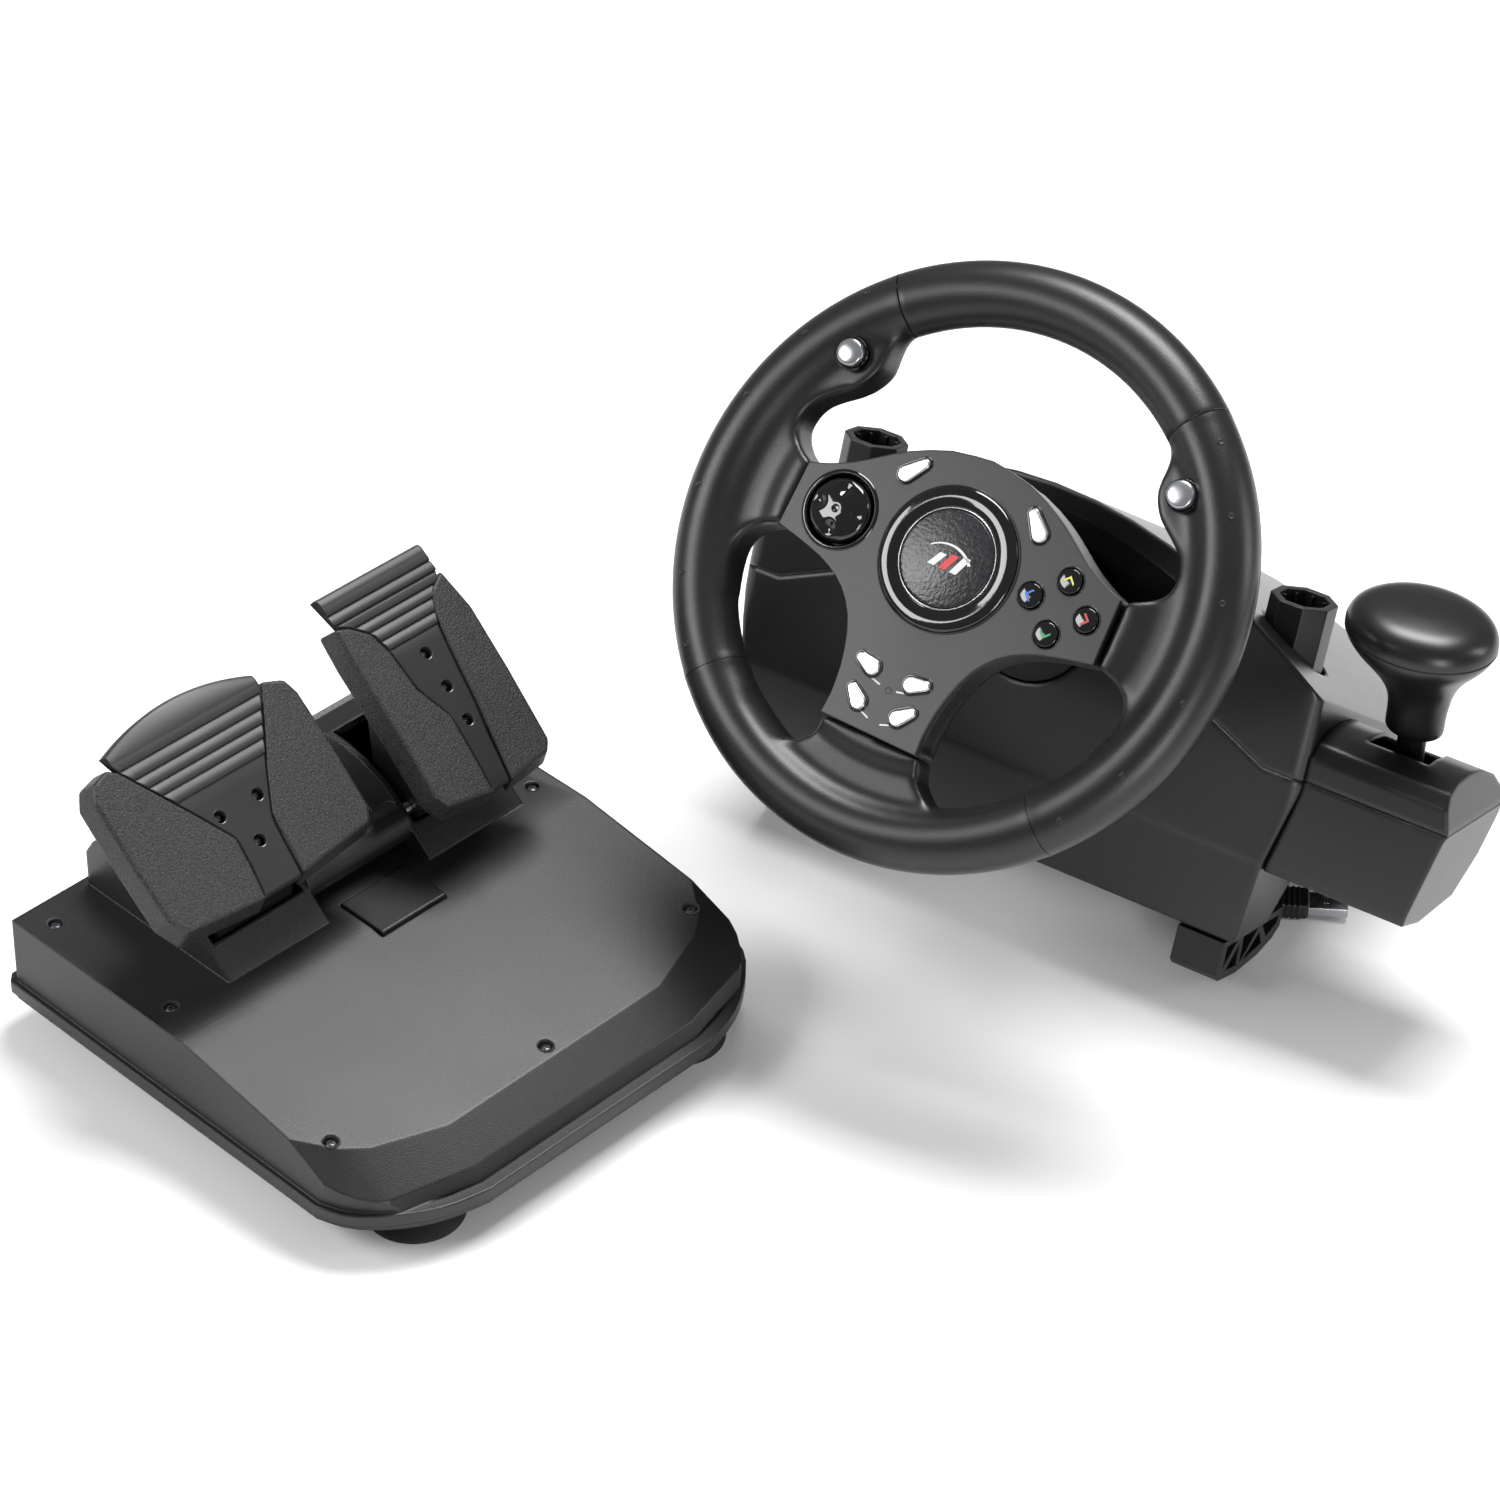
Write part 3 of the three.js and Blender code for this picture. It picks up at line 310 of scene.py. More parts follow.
DARK = moulded("dark_plastic", (0.0065, 0.0065, 0.0070), 0.42, 0.5, 0.15, 0.06, edge=0.8)
PIT = moulded("pit_shadow", (0.0020, 0.0020, 0.0020), 0.7, 0.5, 0.1, 0.05, edge=0)
SILVER = moulded("silver_button", (0.46, 0.47, 0.49), 0.27, 0.35, 0.06, 0.05, 0.06, metal=0.9,
                 edge=0.5)
BRIGHT = moulded("lit_edge", (0.045, 0.046, 0.048), 0.22, 0.3, 0.05, 0.05, edge=0)
STEEL = moulded("turned_steel", (0.50, 0.51, 0.53), 0.30, 0.3, 0.15, 0.08, metal=1.0, edge=0.3,
                stretch=(1, 1, 12))
STEEL_DARK = moulded("screw_steel", (0.10, 0.10, 0.11), 0.35, 0.3, 0.1, 0.05, metal=0.9, edge=0.2)
RUBBER = moulded("soft_rubber", (0.0060, 0.0060, 0.0065), 0.62, 0.8, 0.2, 0.08)
CORD = moulded("cable_sheath", (0.0070, 0.0070, 0.0075), 0.50, 0.6, 0.15, 0.06, edge=0)
BOARD = moulded("circuit_board", (0.015, 0.085, 0.035), 0.42, 1.8, 0.25, 0.1, 0.3)
BADGE = moulded("badge_foil", (0.0150, 0.0155, 0.0170), 0.26, 1.6, 0.45, 0.08, speck=0.3, edge=0.4)
MARKS = {
    "red": moulded("mark_red", (0.55, 0.03, 0.03), 0.4, edge=0),
    "blue": moulded("mark_blue", (0.03, 0.16, 0.60), 0.4, edge=0),
    "green": moulded("mark_green", (0.03, 0.30, 0.09), 0.4, edge=0),
    "yellow": moulded("mark_yellow", (0.62, 0.58, 0.12), 0.4, edge=0),
    "white": moulded("mark_white", (0.62, 0.62, 0.62), 0.4, edge=0),
}


# ---- mesh tools ---------------------------------------------------------------------------------
def linked(name, mesh, material):
    obj = bpy.data.objects.new(name, mesh)
    bpy.context.scene.collection.objects.link(obj)
    mesh.materials.clear()
    mesh.materials.append(material)
    return obj


def from_bmesh(name, bm, place, material):
    bm.transform(place)
    bmesh.ops.recalc_face_normals(bm, faces=bm.faces)
    mesh = bpy.data.meshes.new(name)
    bm.to_mesh(mesh)
    bm.free()
    return linked(name, mesh, material)


def applied(obj):
    """The object with its modifiers made part of its mesh."""
    bpy.context.view_layer.update()
    seen = obj.evaluated_get(bpy.context.evaluated_depsgraph_get())
    mesh = bpy.data.meshes.new_from_object(seen)
    old = obj.data
    obj.modifiers.clear()
    obj.data = mesh
    bpy.data.meshes.remove(old)
    return obj


def smoothed(obj, angle=38):
    obj.data.shade_smooth()
    obj.data.set_sharp_from_angle(angle=math.radians(angle))
    return obj


def rounded(obj, width, segments=3, crease=24):
    """Rounds the edges of more than 30 degrees by a width in mm, and shades smoothly what then
    bends by less than the crease."""
    made = obj.modifiers.new("round", "BEVEL")
    made.width = width / 1000
    made.segments = segments
    made.limit_method = "ANGLE"
    made.angle_limit = math.radians(30)
    made.use_clamp_overlap = True
    applied(obj)
    smoothed(obj, crease)
    return weighted(obj)


def weighted(obj):
    """Shading that keeps the large flat faces flat."""
    made = obj.modifiers.new("weigh", "WEIGHTED_NORMAL")
    made.mode = "FACE_AREA"
    made.weight = 100
    made.keep_sharp = True
    return applied(obj)


def carved(obj, cutter):
    """The object less the cutter, which is used up."""
    made = obj.modifiers.new("cut", "BOOLEAN")
    made.object = cutter
    made.operation = "DIFFERENCE"
    made.solver = "EXACT"
    applied(obj)
    mesh = cutter.data
    bpy.data.objects.remove(cutter)
    bpy.data.meshes.remove(mesh)
    return obj


def prism_mesh(bm, outline, z0, z1):
    low = [bm.verts.new((x, y, z0)) for x, y in outline]
    high = [bm.verts.new((x, y, z1)) for x, y in outline]
    bm.faces.new(low[::-1])
    bm.faces.new(high)
    count = len(outline)
    for i in range(count):
        j = (i + 1) % count
        bm.faces.new((low[i], low[j], high[j], high[i]))


def prism(name, outline, z0, z1, place, material, soft=0.0):
    bm = bmesh.new()
    prism_mesh(bm, outline, z0, z1)
    obj = from_bmesh(name, bm, place, material)
    return rounded(obj, soft) if soft else smoothed(obj)


def lathe_mesh(bm, profile, segments, squeeze=1.0):
    """A closed surface from a profile of (radius, z), turned about z."""
    rows = []
    for radius, z in profile:
        if radius < 1e-6:
            rows.append([bm.verts.new((0, 0, z))])
            continue
        angles = [2 * math.pi * i / segments for i in range(segments)]
        rows.append([bm.verts.new((radius * math.cos(a), squeeze * radius * math.sin(a), z))
                     for a in angles])
    for a, b in zip(rows, rows[1:]):
        for i in range(segments):
            j = (i + 1) % segments
            corners = [a[i % len(a)], a[j % len(a)], b[j % len(b)], b[i % len(b)]]
            kept = list(dict.fromkeys(corners))
            if len(kept) > 2:
                bm.faces.new(kept)


def tube_faces(bm, rows):
    """Joins closed rows of vertices into a tube, with its two ends shut."""
    around = len(rows[0])
    for a, b in zip(rows, rows[1:]):
        for i in range(around):
            j = (i + 1) % around
            bm.faces.new((a[i], a[j], b[j], b[i]))
    bm.faces.new(rows[0][::-1])
    bm.faces.new(rows[-1])


def lathe(name, profile, place, material, segments, angle=30):
    bm = bmesh.new()
    lathe_mesh(bm, profile, segments)
    return smoothed(from_bmesh(name, bm, place, material), angle)


def eased_profile(points, per):
    """A smooth profile through points of (radius, z)."""
    return [(max(q.x, 0.0), q.y) for q in flowing([(r, z, 0) for r, z in points], per)]


def arc(cx, cy, radius, start, end, steps):
    angles = [math.radians(start + (end - start) * i / steps) for i in range(steps + 1)]
    return [(cx + radius * math.cos(a), cy + radius * math.sin(a)) for a in angles]


def joined(name, objects):
    """One object from several that share a body."""
    bm = bmesh.new()
    materials = []
    for obj in objects:
        slot = obj.data.materials[0]
        if slot not in materials:
            materials.append(slot)
        first = len(bm.faces)
        bm.from_mesh(obj.data)
        bm.faces.ensure_lookup_table()
        for face in bm.faces[first:]:
            face.material_index = materials.index(slot)
        bpy.data.objects.remove(obj)
    mesh = bpy.data.meshes.new(name)
    bm.to_mesh(mesh)
    bm.free()
    made = bpy.data.objects.new(name, mesh)
    bpy.context.scene.collection.objects.link(made)
    for slot in materials:
        mesh.materials.append(slot)
    return made


def rides(obj, body, replaced=()):
    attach(obj, body)
    if replaced:
        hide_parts(*replaced)
    return obj


def body_of(node):
    return frame["nodes"][node]["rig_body"]


def copied(node, name, material):
    """A copy of a CAD node's mesh with its flat faces whole again."""
    bm = bmesh.new()
    bm.from_mesh(frame["nodes"][node].data)
    bmesh.ops.remove_doubles(bm, verts=bm.verts, dist=2e-5)
    bmesh.ops.dissolve_limit(bm, angle_limit=math.radians(0.8), verts=bm.verts, edges=bm.edges)
    return from_bmesh(name, bm, Matrix.Identity(4), material)


def refined(node, material, width, segments=3, cutters=(), crease=24):
    """A CAD node's shape with its edges rounded, standing for it."""
    obj = copied(node, node + "_moulding", material)
    for cutter in cutters:
        carved(obj, cutter)
    rounded(obj, width, segments, crease=crease)
    return rides(obj, body_of(node), [node])


def bar_cutter(place, x, y, z0, z1, radius, segments=32):
    bm = bmesh.new()
    prism_mesh(bm, arc(x, y, radius, 0, 360, segments)[:-1], z0, z1)
    return from_bmesh("cutter", bm, place, DARK)


# ---- rim --------------------------------------------------------------------------------------
RIM_MID, TUBE, GAP = 120.4, 14.6, 0.3
TOP_JOINT, BOTTOM_JOINT = 52.0, -45.5
RIGHT_ENDS = (BOTTOM_JOINT, TOP_JOINT)
LEFT_ENDS = (180 - TOP_JOINT, 180 - BOTTOM_JOINT)
BOTTOM_ENDS = (180 - BOTTOM_JOINT, 360 + BOTTOM_JOINT)
THUMB = (84.3, 64.8)
VOXEL, DEEP = 1.0, 3.0


def rim_tube(bm, start, end):
    """The rim's round section between two angles, with its end edges just rounded."""
    around = 56
    inset = math.degrees(GAP / 2 / RIM_MID)
    start, end = start + inset, end - inset
    steps = int((end - start) / 1.5)
    stops = [(start, TUBE - 0.5), (start + 0.12, TUBE - 0.12), (start + 0.3, TUBE)]
    stops += [(start + (end - start) * i / steps, TUBE) for i in range(1, steps)]
    stops += [(end - 0.3, TUBE), (end - 0.12, TUBE - 0.12), (end, TUBE - 0.5)]
    rows = []
    for angle, radius in stops:
        a = math.radians(angle)
        row = []
        for i in range(around):
            b = 2 * math.pi * i / around
            reach = RIM_MID + radius * math.cos(b)
            row.append(bm.verts.new((reach * math.cos(a), reach * math.sin(a), radius * math.sin(b))))
        rows.append(row)
    tube_faces(bm, rows)


def rim_top():
    bm = bmesh.new()
    rim_tube(bm, TOP_JOINT, 180 - TOP_JOINT)
    obj = smoothed(from_bmesh("rim_top_cover", bm, WHEEL, GRIP), 40)
    rides(obj, "steering", ["rim_top_grip"])


def set_back(q):
    """The lobes and spokes lie a little behind the tube, and run out into it at the joints. What
    is deeper in the tube than DEEP stays where it is."""
    reach = math.hypot(q.x, q.y)
    q.z -= 3.2 * eased((reach - 87) / 9) * eased((114 - reach) / 10)
    side = math.degrees(math.atan2(q.y, abs(q.x)))
    out = max(eased((side - 42) / 10), eased((-side - 20) / 16) * (1 - eased((-side - 52) / 6)))
    mid = Vector((q.x / reach * RIM_MID, q.y / reach * RIM_MID, 0))
    if TUBE - (q - mid).length > DEEP:
        return q
    return q.lerp(mid + (q - mid).normalized() * TUBE, out)


def softened(obj, ends, rounds):
    """Melts the overlapping bodies into one skin and relaxes it, but for its flat ends."""
    made = obj.modifiers.new("skin", "REMESH")
    made.mode = "VOXEL"
    made.voxel_size = VOXEL / 1000
    made.adaptivity = 0
    applied(obj)
    group = obj.vertex_groups.new(name="free")
    back = WHEEL.inverted()
    lines = [Vector((math.cos(math.radians(a)), math.sin(math.radians(a)))) for a in ends]
    for vertex in obj.data.vertices:
        q = back @ vertex.co
        clear = min(abs(q.x * d.y - q.y * d.x) for d in lines)
        group.add([vertex.index], eased((clear - 0.8) / 4.0), "REPLACE")
        vertex.co = WHEEL @ set_back(q)
    made = obj.modifiers.new("relax", "SMOOTH")
    made.factor = 0.5
    made.iterations = rounds
    made.vertex_group = "free"
    applied(obj)
    obj.vertex_groups.clear()
    return obj


def side_grip(side):
    """A grip with its thumb lobe; side is 1 on the right and -1 on the left."""
    word, ends = ("right", RIGHT_ENDS) if side > 0 else ("left", LEFT_ENDS)
    node = f"rim_{word}_grip"
    bm = bmesh.new()
    bm.from_mesh(frame["nodes"][node].data)
    bm.transform(WHEEL.inverted())
    rim_tube(bm, *ends)
    plug = arc(side * THUMB[0], THUMB[1], 7.8, 0, 360, 32)[:-1]
    prism_mesh(bm, plug, 2, 10.8)
    obj = softened(from_bmesh(f"rim_{word}_cover", bm, WHEEL, GRIP), ends, 60)
    carved(obj, bar_cutter(WHEEL, side * THUMB[0], THUMB[1], 3.2, 24, 7.1, 48))
    smoothed(obj, 60)
    rides(obj, "steering", [node])


def rim_bottom():
    bm = bmesh.new()
    bm.from_mesh(frame["nodes"]["rim_bottom_grip"].data)
    bm.transform(WHEEL.inverted())
    rim_tube(bm, *BOTTOM_ENDS)
    obj = softened(from_bmesh("rim_bottom_cover", bm, WHEEL, GRIP), BOTTOM_ENDS, 40)
    rides(smoothed(obj, 60), "steering", ["rim_bottom_grip"])


PIN_DIMPLES = [(90, 92), (109, 65), (122, 30), (125, -15), (114, -53), (97, -81)]


def pin_dimples():
    """The small moulded pin marks in the grips' faces."""
    marks = []
    for x, y in PIN_DIMPLES:
        out = math.hypot(x, y)
        z = math.sqrt(max(TUBE ** 2 - (out - RIM_MID) ** 2, 1.0))
        tilt = math.degrees(math.atan2(out - RIM_MID, z))
        for side in (-1, 1):
            place = WHEEL @ shift(side * x, y, z) @ turn(math.degrees(math.atan2(y, side * x)), "Z")
            place = place @ turn(tilt, "Y")
            marks.append(lathe("dimple", [(0, -0.12), (0.75, -0.1), (1.0, 0.12), (1.25, 0.16),
                                          (1.5, 0.02), (1.5, -0.5), (0, -0.5)], place, DARK, 20))
    rides(joined("rim_pin_marks", marks), "steering")


def parting_line():
    """The joint between a grip's front and back mouldings, round the outside of the rim."""
    section = [(0.5, -24.5), (-0.05, -24.4), (-0.05, -22.6), (0.5, -22.5)]  # depth, degrees
    steps = 90
    for side, ends in (("right", RIGHT_ENDS), ("left", LEFT_ENDS)):
        bm = bmesh.new()
        rows = []
        for i in range(steps + 1):
            a = math.radians(ends[0] + 0.1 + (ends[1] - ends[0] - 0.2) * i / steps)
            row = []
            for depth, tilt in section:
                b = math.radians(tilt)
                reach = RIM_MID + (TUBE - depth) * math.cos(b)
                row.append(bm.verts.new((reach * math.cos(a), reach * math.sin(a),
                                         (TUBE - depth) * math.sin(b))))
            rows.append(row)
        tube_faces(bm, rows)
        line = from_bmesh(f"rim_parting_{side}", bm, WHEEL, PIT)
        rides(smoothed(line), "steering")


# ---- hub --------------------------------------------------------------------------------------
FACE = 13.3
DPAD = (-56.7, 0.3)
CLUSTER = (55.8, 0.2)
SMALL = {
    "button_left_bumper": ((-32.3, 29.3), 228, (16, 3.9, 2.6)),
    "button_right_bumper": ((31.2, 28.6), -48, (16, 3.9, 2.6)),
    "button_select": ((-13.4, -54.8), -18, (13, 3.9, 2.6)),
    "button_home": ((-12.2, -69.8), -42, (13, 3.8, 2.6)),
    "button_start": ((11.8, -54.9), 198, (13, 3.9, 2.6)),
    "button_mode": ((11.9, -69.5), 222, (13, 3.8, 2.6)),
}
FACES = {"west": (-13.9, 0, "blue", 180), "north": (0, 12.4, "yellow", 90),
         "east": (13.9, 0, "red", 0), "south": (0, -12.4, "green", -90)}


def teardrop(length, wide, narrow, grow):
    tail = arc(-length / 2 + narrow, 0, narrow + grow, 90, 270, 12)
    head = arc(length / 2 - wide, 0, wide + grow, -90, 90, 16)
    return tail + head


def small_button(node):
    (x, y), degrees, size = SMALL[node]
    place = WHEEL @ shift(x, y) @ turn(degrees, "Z")
    cap = prism(node + "_cap", teardrop(*size, -0.1), 8, FACE + 1.5, place, SILVER, 0.9)
    rides(cap, body_of(node), [node])
    wall = prism("wall", teardrop(*size, 1.0), FACE - 0.6, FACE + 0.35, place, GLOSS, 0.3)
    carved(wall, prism("hole", teardrop(*size, 0.25), FACE - 2, FACE + 2, place, GLOSS))
    rides(smoothed(wall), "steering")
    wall.name = node + "_surround"


def chevron():
    reach, arm, width = 2.2, 2.5, 1.1
    return [(reach, 0), (reach - arm, arm), (reach - arm - width, arm), (reach - width, 0),
            (reach - arm - width, -arm), (reach - arm, -arm)]


def face_button(name, x, y, colour, degrees):
    node = "button_face_" + name
    place = WHEEL @ shift(CLUSTER[0] + x, CLUSTER[1] + y)
    profile = eased_profile([(5.3, 8), (5.45, 10), (5.45, FACE + 0.6), (5.0, FACE + 1.3),
                             (3.6, FACE + 1.75), (1.8, FACE + 1.95), (0, FACE + 2)], 3)
    cap = lathe("cap", [(0, 8), *profile], place, GLOSS, 48, angle=50)
    mark = prism("mark", chevron(), FACE + 1.6, FACE + 2.06, place @ turn(degrees, "Z"),
                 MARKS[colour])
    rides(joined(node + "_cap", [cap, mark]), body_of(node), [node])
    edge = lathe("well", [(5.8, FACE - 1), (6.5, FACE - 0.4), (6.6, FACE + 0.18), (6.2, FACE + 0.3),
                          (5.85, FACE + 0.1), (5.8, FACE - 1)], place, GLOSS, 48)
    rides(edge, "steering")
    edge.name = node + "_well"


def thumb_button(side):
    node = "button_right_thumb" if side > 0 else "button_left_thumb"
    place = WHEEL @ shift(side * THUMB[0], THUMB[1])
    profile = eased_profile([(6.1, 8), (6.3, 12), (6.3, 13.6), (5.9, 14.7), (4.6, 15.3), (2.4, 15.7),
                             (0, 15.8)], 4)
    cap = lathe(node + "_cap", [(0, 8), *profile], place, SILVER, 56, angle=50)
    rides(cap, body_of(node), [node])
    edge = lathe(node + "_well", [(6.6, 9), (7.0, 9), (7.6, 11.2), (7.3, 12.1), (6.7, 11.6), (6.6, 9)],
                 place, GLOSS, 56)
    rides(edge, "steering")


def dpad():
    """A domed direction pad with four finger dimples and a pit in its middle."""
    bm = bmesh.new()
    profile = eased_profile([(14.4, 9.2), (14.5, 12.6), (14.2, 13.8), (13, 15.4), (10.6, 16.6),
                             (7.6, 17.5), (4, 18.0), (2.0, 18.1), (1.4, 17.9), (1.2, 17.2),
                             (0, 17.1)], 6)
    lathe_mesh(bm, [(0, 9.2), *profile], 96)
    for vertex in bm.verts:
        q = vertex.co
        if q.z < 13.4:
            continue
        for k in range(4):
            a = math.radians(90 * k)
            gap = math.hypot(q.x - 9.0 * math.cos(a), q.y - 9.0 * math.sin(a))
            q.z -= 1.7 * eased(1 - gap / 4.6)
    cap = smoothed(from_bmesh("dpad_cap", bm, WHEEL @ shift(*DPAD), GLOSS), 50)
    rides(cap, "dpad_cap", ["dpad"])
    edge = [(15.2, 9), (15.6, FACE - 1), (16.0, FACE + 0.2), (16.6, FACE + 0.75), (17.6, FACE + 0.7),
            (18.2, FACE + 0.1), (18.1, FACE - 1), (17, 9), (15.2, 9)]
    rides(lathe("dpad_surround", edge, WHEEL @ shift(*DPAD), GLOSS, 96, angle=45), "steering")


def hub_ring():
    z = FACE + GAP
    profile = [(22.6, z - 0.2), (22.6, z + 0.9), *eased_profile([(23.0, z + 1.3), (25, z + 2.0),
               (27.5, z + 2.35), (30, z + 2.1), (31.7, z + 1.3), (32.2, z + 0.2)], 4),
               (32.2, z - 0.2), (22.6, z - 0.2)]
    ring = lathe("hub_ring_cover", profile, WHEEL, GLOSS, 128, angle=50)
    rides(ring, "steering", ["hub_ring"])
    lines = (("outer", 32.55, 0.35, BRIGHT), ("inner", 22.35, 1.5, SILVER))
    for name, radius, height, material in lines:
        line = [(radius - 0.3, z - 0.6), (radius + 0.3, z - 0.6), (radius + 0.3, z + height),
                (radius, z + height + 0.15), (radius - 0.3, z + height), (radius - 0.3, z - 0.6)]
        rides(lathe(f"hub_{name}_line", line, WHEEL, material, 128), "steering")


def badge():
    """The middle disc, with a plain mark of three slanted bars and a sweep above them."""
    top = FACE + 2.6
    disc = lathe("disc", [(0, 9), (21.8, 9), (21.8, FACE + 1.4), (21.2, FACE + 2.2), (20.2, FACE + 2.5),
                          (0, top)], WHEEL, BADGE, 96, angle=20)
    parts = [disc]
    for i, colour in enumerate(("white", "red", "white")):
        x = -7.5 + 5.6 * i
        bar = [(x, -5), (x + 3.4, -5), (x + 7.2, 1.5 + i), (x + 3.8, 1.5 + i)]
        parts.append(prism("bar", bar, top - 0.25, top + 0.04, WHEEL, MARKS[colour]))
    sweep = arc(0, -9, 15.5, 40, 128, 24) + arc(-0.5, -9, 14.6, 128, 40, 24)
    parts.append(prism("sweep", sweep, top - 0.25, top + 0.04, WHEEL, MARKS["white"]))
    rides(joined("hub_badge_disc", parts), "steering", ["hub_badge"])


def hub_details():
    """Short printed dashes beside the lower buttons, and the lamp's hole."""
    parts = []
    for x, y, degrees in ((-7, -60.5, -14), (-5.5, -75.5, -20), (6.5, -60.5, 14), (5.8, -76, 20)):
        place = WHEEL @ shift(x, y) @ turn(degrees, "Z")
        dash = [(-2.6, -0.35), (2.6, -0.35), (2.6, 0.35), (-2.6, 0.35)]
        parts.append(prism("dash", dash, FACE - 0.2, FACE + 0.03, place, MARKS["white"]))
    rides(joined("hub_printed_dashes", parts), "steering")
    lamp = lathe("hub_lamp_hole", [(0, FACE - 0.5), (0.9, FACE - 0.4), (1.2, FACE + 0.06),
                                   (1.5, FACE + 0.02), (1.5, FACE - 0.8), (0, FACE - 0.8)],
                 WHEEL @ shift(0.4, -62), PIT, 24)
    rides(lamp, "steering")


def steering():
    rim_top()
    side_grip(1)
    side_grip(-1)
    rim_bottom()
    pin_dimples()
    parting_line()
    refined("hub_front_plate", SATIN, 0.9)
    refined("hub_rear_shell", SHELL, 0.6, 2)
    hub_ring()
    badge()
    dpad()
    for node in SMALL:
        small_button(node)
    for name, facts in FACES.items():
        face_button(name, *facts)
    thumb_button(1)
    thumb_button(-1)
    hub_details()


steering()


# ---- housing ------------------------------------------------------------------------------------
CLAMP_X, CLAMP_Y = 112, 61
KNOB_SQUEEZE = 0.86  # the knob's depth over its width


def housing():
    refined("base_upper_shell", SHELL, 1.0)
    refined("base_lower_shell", SHELL, 0.8)
    profile = eased_profile([(24, -30), (27, -34), (31, -60), (33, -92), (33, -112)], 3)
    column = lathe("column_cover", [(7.4, -112), (7.4, -30), *profile, (7.4, -112)], COLUMN, DARK, 96)
    rides(column, "base", ["column_bearing"])


def clamp(side):
    x = CLAMP_X if side == "right" else -CLAMP_X
    place = LEANING @ shift(x, CLAMP_Y)
    refined(f"clamp_screw_{side}", DARK, 0.7)
    ribs = []
    for k in range(8):
        spot = place @ turn(45 * k, "Z")
        outline = [(9.0, -0.5), (11.2, -0.7), (11.2, 0.7), (9.0, 0.5)]
        ribs.append(prism("rib", outline, 132, 174.6, spot, DARK))
    rides(joined(f"clamp_handle_ribs_{side}", ribs), body_of(f"clamp_screw_{side}"))
    refined(f"clamp_jaw_{side}", DARK, 0.7)


def shifter():
    refined("shifter_upper_shell", SHELL, 1.6, 4)
    refined("shifter_lower_shell", SHELL, 1.2)
    profile = eased_profile([(12.6, 47), (13.3, 48.5), (13.4, 55), (13.9, 61), (15.4, 67), (18.6, 73),
                             (23.4, 79), (28.4, 84.4), (32.2, 89.4), (34.2, 94.2), (34.0, 98.6),
                             (31.2, 103.0), (24.6, 106.4), (14, 108.4), (6, 109), (0, 109.1)], 5)
    bm = bmesh.new()
    lathe_mesh(bm, [(6.9, 60.2), (6.9, 47), *profile], 96, KNOB_SQUEEZE)
    knob = offset_cap(bm, "gear_knob_cover", SHELL)
    rides(knob, "shifter", ["gear_knob"])
    bm = bmesh.new()
    seam = [(33.4, 93.2), (34.38, 93.7), (34.42, 94.3), (33.4, 94.8), (33.4, 93.2)]
    lathe_mesh(bm, seam, 96, KNOB_SQUEEZE)
    rides(offset_cap(bm, "gear_knob_seam", PIT), "shifter")


def offset_cap(bm, name, material):
    """The knob's cap sits a little to the left of its neck."""
    for vertex in bm.verts:
        vertex.co.x -= 3.7 * eased((vertex.co.z - 60) / 26)
    return smoothed(from_bmesh(name, bm, LEVER, material), 50)


housing()
clamp("left")
clamp("right")
shifter()


# ---- pedals -------------------------------------------------------------------------------------
SLOPE = 41.3  # degrees from the floor to a pedal's face at rest
SPRING_Y = 190
# An outline's x and y become the pedal unit's y and z.
SIDEWAYS = Matrix(((0, 0, 1, 0), (1, 0, 0, 0), (0, 1, 0, 0), (0, 0, 0, 1)))
BASE_SCREWS = [(-106, 52), (106, 52), (-106, 153), (106, 153), (-106, 230), (106, 230), (0, 34)]


BRAKE = {
    "name": "brake", "x": -50, "low": (146.5, 100), "length": 74.8,
    "right": [(11.4, -6.2), (52, -2), (56, 4), (56.6, 30), (56, 62), (53.5, 69.5), (43.5, 73.6),
              (35.4, 59.5), (23.8, 40.5), (14.4, 23), (12.6, 12)],
    "left": [(-10.2, -7.4), (-8.2, 8), (-7.2, 21), (-19, 40), (-38.6, 70), (-43, 73.2), (-51, 70.5),
             (-55.6, 63), (-56, 30), (-55.4, 5), (-50, -3.2)],
    "edge": [(-7.2, -9.6, 10.8), (8, -7.5, 11.8), (20, -6.6, 13), (23, -7.6, 14), (40, -18.2, 23.2),
             (60, -31.6, 34.8), (72.5, -39.8, 42.2)],
    "ribs": [47.0, 53.0, 58.6, 64.3, 70.4], "crown": 8.0,
    "holes": [(13.2, 32.8), (-8.0, 32.4), (2.4, 15.4)],
}
THROTTLE = {
    "name": "throttle", "x": 66, "low": (134.5, 96.5), "length": 87.95,
    "right": [(5.8, -6.8), (29, -4.4), (33, 0.5), (34.8, 36), (35.4, 68), (31.6, 88.4), (22.2, 83),
              (17.8, 73.5), (15, 58), (12.2, 34)],
    "left": [(-5.4, -7.2), (-3.8, 18), (-3.4, 31), (-11, 48.5), (-12.6, 68), (-16, 79), (-24, 86),
             (-30.6, 88.4), (-31.6, 72), (-31.6, 30), (-32.4, 4), (-28.6, -3)],
    "edge": [(-7.0, -4.8, 5.2), (18, -3.2, 8.6), (31, -2.8, 11.2), (48, -10.2, 13.2), (68, -12, 16.2),
             (79, -15.2, 20.6), (86, -23, 28), (90, -30.4, 30.6), (96, -30.6, 30.4)],
    "ribs": [69.5, 74.8, 80.5, 85.6, 90.4, 95.6], "crown": 0.0,
    "holes": [(3.2, 60.2), (3.3, 43.0), (3.3, 25.8)],
}


def between(rows, y, column):
    """A column's value at y, on straight lines between the rows."""
    for a, b in zip(rows, rows[1:]):
        if y <= b[0]:
            t = (y - a[0]) / (b[0] - a[0])
            return a[column] + (b[column] - a[column]) * t
    return rows[-1][column]


